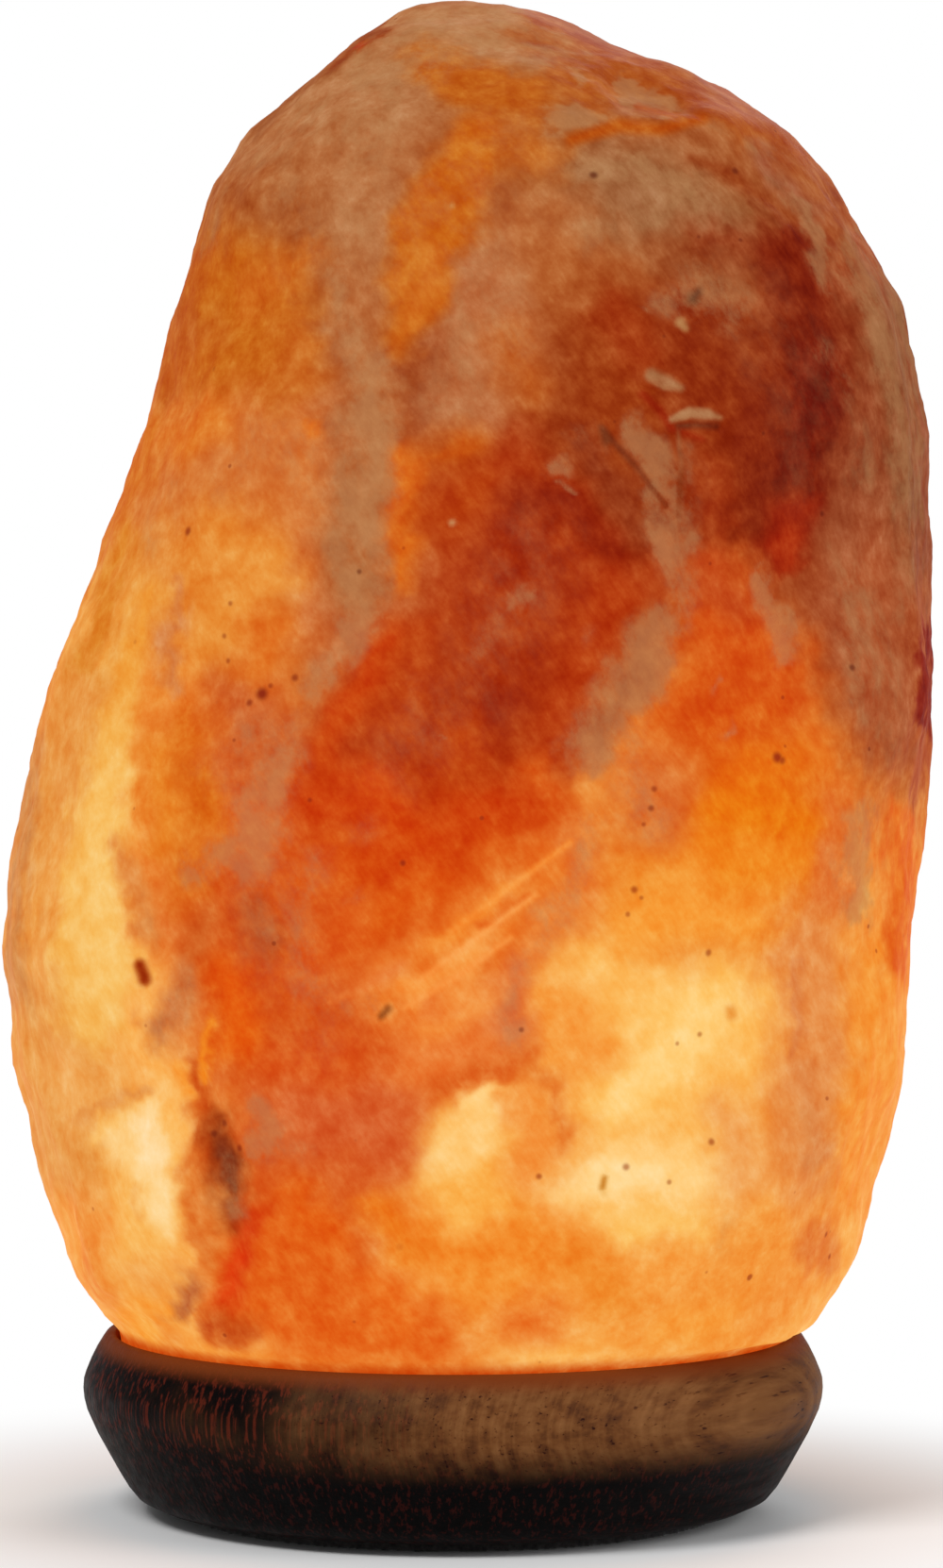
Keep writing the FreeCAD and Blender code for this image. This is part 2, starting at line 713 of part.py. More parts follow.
def make_terminal_blocks():
    """Two brass blocks, each with a hole across for the wire and one from below for its screw."""
    body = new_body("terminal_blocks")
    sketch = terminal_rectangle(new_sketch(body, "block", "XY_Plane", "terminal_bottom"), "0")
    block = extrude(body, "block_pad", sketch, "Pad", "terminal_height")
    middle = "terminal_spacing / 2"
    tapped = new_sketch(body, "tapped", "XY_Plane", "terminal_bottom + terminal_screw_length + terminal_screw_fit")
    draw_circle(tapped, "terminal_screw_radius + terminal_screw_fit", middle, "0")
    tapped_cut = extrude(body, "tapped_cut", tapped, "Pocket", "terminal_height")
    wire = new_sketch(body, "wire", "XZ_Plane")
    draw_circle(wire, "terminal_wire_radius", middle, "terminal_top - terminal_wire_radius * 2")
    wire_cut = extrude(body, "wire_cut", wire, "Pocket", "terminal_width * 2", both_ways=True)
    repeat_round(body, [block, tapped_cut, wire_cut], "2")
    return body


def make_terminal_screws():
    body = new_body("terminal_screws")
    middle = "terminal_spacing / 2"
    head = new_sketch(body, "head", "XY_Plane", "terminal_bottom - terminal_head_height")
    draw_circle(head, "terminal_head_radius", middle, "0")
    head_pad = extrude(body, "head_pad", head, "Pad", "terminal_head_height")
    shank = new_sketch(body, "shank", "XY_Plane", "terminal_bottom")
    draw_circle(shank, "terminal_screw_radius", middle, "0")
    shank_pad = extrude(body, "shank_pad", shank, "Pad", "terminal_screw_length")
    slot = new_sketch(body, "slot", "XY_Plane", "terminal_bottom - terminal_head_height / 2")
    draw_rectangle(slot, f"{middle} - terminal_head_radius * 2", f"{middle} + terminal_head_radius * 2",
                   "-terminal_slot_width / 2", "terminal_slot_width / 2")
    slot_cut = extrude(body, "slot_cut", slot, "Pocket", "terminal_head_height")
    repeat_round(body, [head_pad, shank_pad, slot_cut], "2")
    return body


def make_screw_shell():
    """The metal shell that the bulb screws into, with a flange that sits on the contact block."""
    body = new_body("screw_shell")
    revolve(body, "turned", [
        ("shell_flange_bore", "block_top"),
        ("shell_radius", "block_top"),
        ("shell_radius", "block_top + shell_height"),
        ("shell_radius - shell_thickness", "block_top + shell_height"),
        ("shell_radius - shell_thickness", "block_top + shell_thickness"),
        ("shell_flange_bore", "block_top + shell_thickness"),
    ])
    return body


def make_centre_contact():
    """A bowed strip on the contact block that presses on the bulb's tip."""
    body = new_body("centre_contact")
    sketch = new_sketch(body, "strip", "XZ_Plane")
    underside = [
        ("contact_half_length", "block_top"),
        ("contact_half_length - contact_foot", "block_top"),
        ("contact_crown", "block_top + contact_rise"),
    ]
    upper_side = [(x, f"{y} + contact_thickness") for x, y in underside]
    mirrored_under = [("-(" + x + ")", y) for x, y in underside]
    mirrored_upper = [("-(" + x + ")", y) for x, y in upper_side]
    draw_outline(sketch, underside + mirrored_under[::-1] + mirrored_upper + upper_side[::-1])
    extrude(body, "bow", sketch, "Pad", "contact_half_width * 2", both_ways=True)
    return body


# ---------------------------------------------------------------- bulb

def make_bulb_tip():
    body = new_body("bulb_tip")
    revolve(body, "turned", [
        ("0", "bulb_bottom"), ("tip_radius / 2", "bulb_bottom"),
        ("tip_radius", "bulb_bottom + tip_height / 2"),
        ("tip_radius", "insulator_bottom"), ("0", "insulator_bottom"),
    ])
    return body


def make_bulb_insulator():
    """The glass bead between the tip and the cap."""
    body = new_body("bulb_insulator")
    revolve(body, "turned", [
        ("0", "insulator_bottom"), ("tip_radius", "insulator_bottom"),
        ("insulator_radius", "bulb_cap_bottom"),
        ("insulator_radius", "bulb_cap_bottom + insulator_depth"),
        ("0", "bulb_cap_bottom + insulator_depth"),
    ])
    return body


def make_bulb_cap():
    """The bulb's metal cap: a cone at the bottom, a straight shell and a flared collar."""
    body = new_body("bulb_cap")
    lip = "insulator_radius + bulb_cap_wall / 2"
    inside = "bulb_cap_radius - bulb_cap_wall"
    collar_inside = "bulb_collar_radius - bulb_cap_wall"
    revolve(body, "shell", [
        (lip, "bulb_cap_bottom"),
        (f"{lip} + bulb_cap_wall", "bulb_cap_bottom"),
        ("bulb_cap_radius", "bulb_cap_shoulder"),
        ("bulb_cap_radius", "bulb_collar_bottom"),
        ("bulb_collar_radius", "bulb_collar_shoulder"),
        ("bulb_collar_radius", "bulb_cap_top"),
        (collar_inside, "bulb_cap_top"),
        (collar_inside, "bulb_collar_shoulder + bulb_cap_wall"),
        (inside, "bulb_collar_bottom + bulb_cap_wall"),
        (inside, "bulb_cap_shoulder + bulb_cap_wall"),
        (lip, "bulb_cap_bottom + bulb_cap_wall"),
    ])
    return body


def make_bulb_envelope():
    """The glass: a neck inside the cap, an S-shaped swell and a round dome, hollow all the way up."""
    body = new_body("bulb_envelope")
    eighth = "(bulb_radius - neck_radius) / 8"
    inside = [
        ("dome_inner_radius", "bulb_top - dome_inner_drop"),
        ("bulb_radius - glass_thickness", "dome_height"),
        (f"bulb_radius - {eighth} - glass_thickness", "dome_height - swell_height / 4"),
        ("swell_middle_radius - glass_thickness", "swell_middle"),
        (f"neck_radius + {eighth} - glass_thickness", "swell_bottom + swell_height / 4"),
        ("neck_radius - glass_thickness", "swell_bottom"),
        ("neck_radius - glass_thickness", "neck_bottom"),
    ]
    revolve(body, "glass", [
        ("neck_radius", "neck_bottom"),
        ("neck_radius", "swell_bottom"),
        ("swell_middle_radius", "swell_middle", "upright_start"),
        ("bulb_radius", "dome_height", "upright_end"),
        ("0", "bulb_top", "level_end"),
        ("0", "bulb_top - glass_thickness"),
    ] + inside)
    return body


def make_bulb_stem():
    """The glass foot inside the neck that the wires stand in."""
    body = new_body("bulb_stem")
    revolve(body, "turned", [
        ("0", "neck_bottom"),
        ("neck_radius - glass_thickness - stem_fit", "neck_bottom"),
        ("stem_radius", "neck_bottom + stem_flare_height"),
        ("stem_radius", "stem_top"), ("0", "stem_top"),
    ])
    return body


def make_lead_wires():
    """Two wires from the stem out to the ends of the filament."""
    inner, outer = number("lead_spacing / 2"), number("filament_span / 2")
    bottom, top = number("stem_top"), number("lead_top")
    straight = number("lead_straight")
    route = [(inner, bottom), (inner, bottom + straight), (outer, top - straight / 2), (outer, top)]
    wires = [wire_along([V(side * x, 0, z) for x, z in route], number("lead_radius")) for side in (-1, 1)]
    return shape_part("lead_wires", Part.makeCompound(wires))


def make_filament():
    """The coiled filament as one thin bow between the lead wires."""
    half, rise, bottom = number("filament_span / 2"), number("filament_rise"), number("lead_top")
    route = [(-1.0, 0.0), (-1.0, 0.3), (-0.5, 0.85), (0.0, 1.0), (0.5, 0.85), (1.0, 0.3), (1.0, 0.0)]
    points = [V(half * share, 0, bottom + rise * up) for share, up in route]
    return shape_part("filament", wire_along(points, number("filament_radius")))


def make_support_wire():
    """The thin post that holds up the middle of the filament."""
    top = number("lead_top + filament_rise - filament_radius - filament_gap")
    bottom = number("stem_top")
    return shape_part("support_wire", Part.makeCylinder(number("lead_radius"), top - bottom, V(0, 0, bottom)))


# ---------------------------------------------------------------- document

doc = FreeCAD.newDocument("salt_crystal_lamp")
sheet = doc.addObject("Spreadsheet::Sheet", "Sizes")
for row_number, (size_name, size) in enumerate(SIZES.items(), 1):
    sheet.set(f"A{row_number}", size_name)
    sheet.set(f"B{row_number}", str(size))
    sheet.setAlias(f"B{row_number}", size_name)
doc.recompute()

parts = [
    make_felt_ring(), make_wood_base(), make_base_screws(), make_wall_plugs(), make_salt_crystal(),
    make_nipple(), make_inlet_bush(), make_nipple_nut(),
    ring_plate("washer", "hole_radius", "washer_radius", "washer_bottom", "washer_thickness"),
    ring_plate("cover_plate", "hole_radius", "plate_radius", "plate_bottom", "plate_thickness"),
    make_clip_bracket(), make_clip("clip_right", 0), make_clip("clip_left", 180),
    make_holder_cap(), make_holder_body(), make_contact_block(), make_terminal_blocks(),
    make_terminal_screws(), make_screw_shell(), make_centre_contact(),
    make_bulb_tip(), make_bulb_insulator(), make_bulb_cap(), make_bulb_envelope(), make_bulb_stem(),
    make_lead_wires(), make_filament(), make_support_wire(),
]
doc.recompute()

for item in doc.Objects:
    if "Invalid" in item.State or "Error" in item.State:
        raise RuntimeError(f"{item.Label} did not build: {item.State}")
for part in parts:
    if part.Shape.isNull() or not part.Shape.isValid():
        raise RuntimeError(f"{part.Label} has no valid shape")

os.makedirs("parts", exist_ok=True)
for part in parts:
    part.Shape.exportStep(f"parts/{part.Label}.step")
    print(part.Label, len(part.Shape.Solids), "solids", round(part.Shape.Volume, 1), "mm3")
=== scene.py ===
"""Looks of the salt crystal lamp: a lit block of orange rock salt on a dark turned wooden base.

The lamp stands at the origin, +Z up, and is seen from -Y. Lengths are in millimetres, except in Blender's own data,
lights and shader inputs, which are in metres.
"""

import math
from contextlib import contextmanager

import bmesh
import bpy
import numpy as np
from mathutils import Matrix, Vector, noise


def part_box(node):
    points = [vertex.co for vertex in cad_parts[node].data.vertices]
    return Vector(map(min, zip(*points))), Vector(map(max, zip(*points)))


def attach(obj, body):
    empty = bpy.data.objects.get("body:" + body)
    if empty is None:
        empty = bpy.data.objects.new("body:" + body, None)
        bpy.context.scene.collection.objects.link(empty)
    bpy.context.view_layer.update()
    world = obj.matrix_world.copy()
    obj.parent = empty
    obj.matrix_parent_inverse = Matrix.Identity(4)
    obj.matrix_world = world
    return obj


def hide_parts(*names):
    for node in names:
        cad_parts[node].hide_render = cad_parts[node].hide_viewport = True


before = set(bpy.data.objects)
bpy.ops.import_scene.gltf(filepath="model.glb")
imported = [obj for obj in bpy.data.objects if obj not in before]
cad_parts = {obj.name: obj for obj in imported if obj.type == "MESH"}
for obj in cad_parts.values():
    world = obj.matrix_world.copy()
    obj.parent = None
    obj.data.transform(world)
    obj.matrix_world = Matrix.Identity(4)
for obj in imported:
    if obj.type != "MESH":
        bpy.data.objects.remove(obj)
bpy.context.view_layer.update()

MM = 0.001
BLACK = (0.0, 0.0, 0.0, 1.0)
WHITE = (1.0, 1.0, 1.0, 1.0)


# ---------------------------------------------------------------- small helpers

def corners(node):
    """The lowest and highest corners of a CAD node."""
    low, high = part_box(node)
    return Vector(low) / MM, Vector(high) / MM


def ease(value, low, high):
    """A smooth step from 0 at low to 1 at high."""
    share = np.clip((value - low) / (high - low), 0.0, 1.0)
    return share * share * (3.0 - 2.0 * share)


def wander(points, size, seed, octaves=3):
    """Smooth noise over points, about -1 to 1, whose largest lumps are about size apart."""
    shift = Vector((seed * 17.3, seed * 5.9, seed * 11.1))
    return np.array([noise.fractal(Vector(p) / size + shift, 1.0, 2.0, octaves) for p in points])


def lumpy(points, lumps):
    """Noise summed over lumps, each of them a height, a size, a seed and a number of octaves."""
    return sum(height * wander(points, *lump) for height, *lump in lumps)


def to_linear(display):
    """Display colours from 0 to 1, as linear light."""
    return np.where(display <= 0.04045, display / 12.92, ((display + 0.055) / 1.055) ** 2.4)


def linear(colour):
    """A colour of three display numbers from 0 to 255, as the linear colour that a shader takes."""
    return (*to_linear(np.array(colour) / 255.0), 1.0)


def new_piece(name, data):
    """A new object in the scene."""
    piece = bpy.data.objects.new(name, data)
    bpy.context.scene.collection.objects.link(piece)
    return piece


def shown_mesh(piece):
    """What a curve or a piece with modifiers shows, as a mesh."""
    depsgraph = bpy.context.evaluated_depsgraph_get()
    depsgraph.update()
    return bpy.data.meshes.new_from_object(piece.evaluated_get(depsgraph))


def apply_modifiers(piece):
    """Turn what the modifiers show into the piece's own mesh."""
    mesh = shown_mesh(piece)
    piece.modifiers.clear()
    piece.data = mesh
    return piece


def cad_copy(node, name):
    """A new piece with a CAD node's mesh."""
    return new_piece(name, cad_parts[node].data.copy())


def remeshed_copy(node, name, voxel):
    """A copy of a CAD node as an even grid of small faces."""
    piece = cad_copy(node, name)
    remesh = piece.modifiers.new("remesh", "REMESH")
    remesh.mode = "VOXEL"
    remesh.voxel_size = voxel * MM
    return apply_modifiers(piece)


@contextmanager
def editing(mesh):
    """Lend a mesh for editing, and store the result in it."""
    builder = bmesh.new()
    builder.from_mesh(mesh)
    yield builder
    builder.to_mesh(mesh)
    builder.free()


def read_rows(items, field, width, kind=np.float64):
    """A field of every item of a mesh, one row each."""
    flat = np.empty(len(items) * width, kind)
    items.foreach_get(field, flat)
    return flat.reshape(-1, width)


def read_points(mesh):
    return read_rows(mesh.vertices, "co", 3) / MM


def read_normals(mesh):
    return read_rows(mesh.vertex_normals, "vector", 3)


def write_points(mesh, points):
    mesh.vertices.foreach_set("co", (points * MM).ravel())
    mesh.update()


def push_out(mesh, lift, node, margin=0.0):
    """Lift a mesh's points along their normals, but not past the box of a CAD node."""
    low, high = corners(node)
    points = read_points(mesh) + read_normals(mesh) * lift[:, None]
    points = np.clip(points, np.array(low) + margin, np.array(high) - margin)
    write_points(mesh, points)
    return points


def finish_piece(piece, material, body, slot, *nodes):
    """Dress a piece, let it ride on its body and hide the CAD nodes it stands for."""
    piece.data.materials.clear()
    piece.data.materials.append(material)
    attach(piece, body)
    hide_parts(*nodes)
    return piece


# ---------------------------------------------------------------- ways of building materials

class Shader:
    """A material on one principled shader, whose inputs are numbers, colours or other nodes' sockets."""

    def __init__(self, name):
        self.material = bpy.data.materials.new(name)
        self.material.use_nodes = True
        self.tree = self.material.node_tree
        self.surface = self.tree.nodes["Principled BSDF"]
        self.place = self.node("ShaderNodeTexCoord").outputs["Object"]

    def fill(self, node, values):
        """Set or link a node's inputs."""
        for key, value in values.items():
            socket = node.inputs[key]
            if isinstance(value, bpy.types.NodeSocket):
                self.tree.links.new(value, socket)
            else:
                socket.default_value = value

    def node(self, kind, values=None, **settings):
        node = self.tree.nodes.new(kind)
        for key, value in settings.items():
            setattr(node, key, value)
        self.fill(node, values or {})
        return node

    def set(self, **values):
        """Set inputs of the surface: underscores in the words stand for spaces."""
        self.fill(self.surface, {key.replace("_", " "): value for key, value in values.items()})

    def calc(self, operation, *values):
        return self.node("ShaderNodeMath", dict(enumerate(values)), operation=operation).outputs[0]

    def add(self, first, second):
        return self.calc("ADD", first, second)

    def times(self, first, second):
        return self.calc("MULTIPLY", first, second)

    def greater(self, first, second):
        return self.calc("MAXIMUM", first, second)

    def fit(self, value, factor, offset):
        return self.calc("MULTIPLY_ADD", value, factor, offset)

    def step(self, value, low, high, to_low=0.0, to_high=1.0):
        """A smooth step from to_low where the value is low, to to_high where it is high."""
        values = {"Value": value, "From Min": low, "From Max": high, "To Min": to_low, "To Max": to_high}
        return self.node("ShaderNodeMapRange", values, interpolation_type="SMOOTHSTEP").outputs["Result"]

    def span(self, value, edges):
        """A smooth step from 0 to 1 between two edges in millimetres."""
        return self.step(value, *[edge * MM for edge in edges])

    def cells(self, size, stretch=(1, 1, 1), turn=None, shift=0.0):
        """The place in cells of size millimetres, turned first, and longer along each axis by its stretch."""
        place = self.place
        if turn:
            place = self.node("ShaderNodeMapping", {"Vector": place, "Rotation": turn}).outputs[0]
        scale = tuple(1.0 / (size * MM * share) for share in stretch)
        return self.node("ShaderNodeMapping", {"Vector": place, "Scale": scale, "Location": (shift,) * 3}).outputs[0]

    def grain(self, size, detail=3.0, rough=0.55, **cells):
        """Noise from 0 to 1 whose lumps are about size millimetres."""
        values = {"Vector": self.cells(size, **cells), "Scale": 1.0, "Detail": detail, "Roughness": rough}
        return self.node("ShaderNodeTexNoise", values).outputs["Fac"]

    def dots(self, size, shift=0.0):
        """The distance to the nearest of many scattered points, in cells, and a random number for that point."""
        cells = self.node("ShaderNodeTexVoronoi", {"Vector": self.cells(size, shift=shift), "Scale": 1.0})
        return cells.outputs["Distance"], self.node("ShaderNodeSeparateColor", {0: cells.outputs["Color"]}).outputs[0]

    def ramp(self, value, stops):
        """A colour ramp whose stops are (place, display colour)."""
        node = self.node("ShaderNodeValToRGB", {0: value})
        elements = node.color_ramp.elements
        while len(elements) < len(stops):
            elements.new(1.0)
        for element, (place, colour) in zip(elements, stops):
            element.position = place
            element.color = linear(colour)
        return node.outputs[0]

    def mix(self, share, first, second, blend="MIX"):
        """Two colours mixed, from the first where the share is 0 to the second where it is 1."""
        node = self.node("ShaderNodeMix", data_type="RGBA", blend_type=blend)
        self.fill(node, {0: share, 6: first, 7: second})
        return node.outputs[2]

    def deepen(self, colour, exponent):
        """A colour seen through exponent times as much of what tints it."""
        parts = self.node("ShaderNodeSeparateColor", {0: colour})
        powers = [self.calc("POWER", parts.outputs[index], exponent) for index in range(3)]
        return self.node("ShaderNodeCombineColor", dict(enumerate(powers))).outputs[0]

    def bump(self, height, strength, distance):
        values = {"Height": height, "Strength": strength, "Distance": distance * MM}
        return self.node("ShaderNodeBump", values).outputs[0]


# ---------------------------------------------------------------- crystal: shape

ROCK_VOXEL = 1.3
RELAX_PASSES = 125
# A step inward and a slightly larger one outward, by turns: rounding without shrinking.
RELAX_STEPS = (0.6, -0.615)
SEAT_TOP = corners("wood_base")[1].z
BULB_LOW, BULB_HIGH = corners("bulb_envelope")
BULB_HEIGHT = (BULB_LOW.z + BULB_HIGH.z) / 2
BORE_RADIUS = 29.0
# What lies within this radius and below this height is the skin of the hollow, and not of the outside.
HOLLOW_RADIUS = BORE_RADIUS + 12
HOLLOW_HEIGHT = BULB_HIGH.z + 70
# The lumps of the skin: height, size, seed and octaves of each. The middle of them is sunk a little.
ROCK_LUMPS = ((1.1, 26.0, 21, 2), (0.5, 9.0, 22, 3), (0.14, 2.6, 23, 2))
ROCK_SUNK = 0.3
BOX_MARGIN = 0.02


def relax(points, edges, share):
    """Round off the facets without shrinking the whole."""
    starts, ends = edges.T
    count = np.bincount(edges.ravel(), minlength=len(points))[:, None]
    for number in range(RELAX_PASSES):
        total = np.stack([np.bincount(starts, points[ends, axis], len(points))
                          + np.bincount(ends, points[starts, axis], len(points)) for axis in range(3)], axis=1)
        points = points + RELAX_STEPS[number % 2] * share * (total / count - points)
    return points


def in_hollow(points):
    return (np.hypot(points[:, 0], points[:, 1]) < HOLLOW_RADIUS) & (points[:, 2] < HOLLOW_HEIGHT)


def outside_share(points):
    """1 on the crystal's outer skin, 0 in its hollow and on its seat."""
    return np.where(in_hollow(points), 0.0, ease(points[:, 2], SEAT_TOP + 0.2, SEAT_TOP + 4.0))


# ---------------------------------------------------------------- crystal: where a brush stroke falls

VIEW_DISTANCE = 1100.0
EYE_HEIGHT = 170.8


def face_map(points, turn):
    """Across and up on the side of the lamp that faces a viewer at an angle of turn degrees (0 is the front)."""
    angle = math.radians(turn)
    across = points[:, 0] * math.cos(angle) + points[:, 1] * math.sin(angle)
    depth = points[:, 1] * math.cos(angle) - points[:, 0] * math.sin(angle)
    nearer = VIEW_DISTANCE / (VIEW_DISTANCE + depth)
    return across * nearer, EYE_HEIGHT + (points[:, 2] - EYE_HEIGHT) * nearer


def facing(normals, turn, low, high):
    """1 where the skin faces that viewer, 0 where it faces away."""
    angle = math.radians(turn)
    return ease(normals[:, 0] * math.sin(angle) - normals[:, 1] * math.cos(angle), low, high)


def stroke_share(across, up, route, soft):
    """How far each place lies within a stroke of changing width, from 0 to 1."""
    best = np.full(len(across), -1e9)
    for start, end in zip(route, route[1:] or route):
        run = np.array([end[0] - start[0], end[1] - start[1]])
        length = max(float(run @ run), 1e-6)
        share = np.clip(((across - start[0]) * run[0] + (up - start[1]) * run[1]) / length, 0, 1)
        away = np.hypot(across - start[0] - share * run[0], up - start[1] - share * run[1])
        best = np.maximum(best, start[2] + share * (end[2] - start[2]) - away)
    return ease(best, -soft, soft)


# ---------------------------------------------------------------- crystal: the light in it

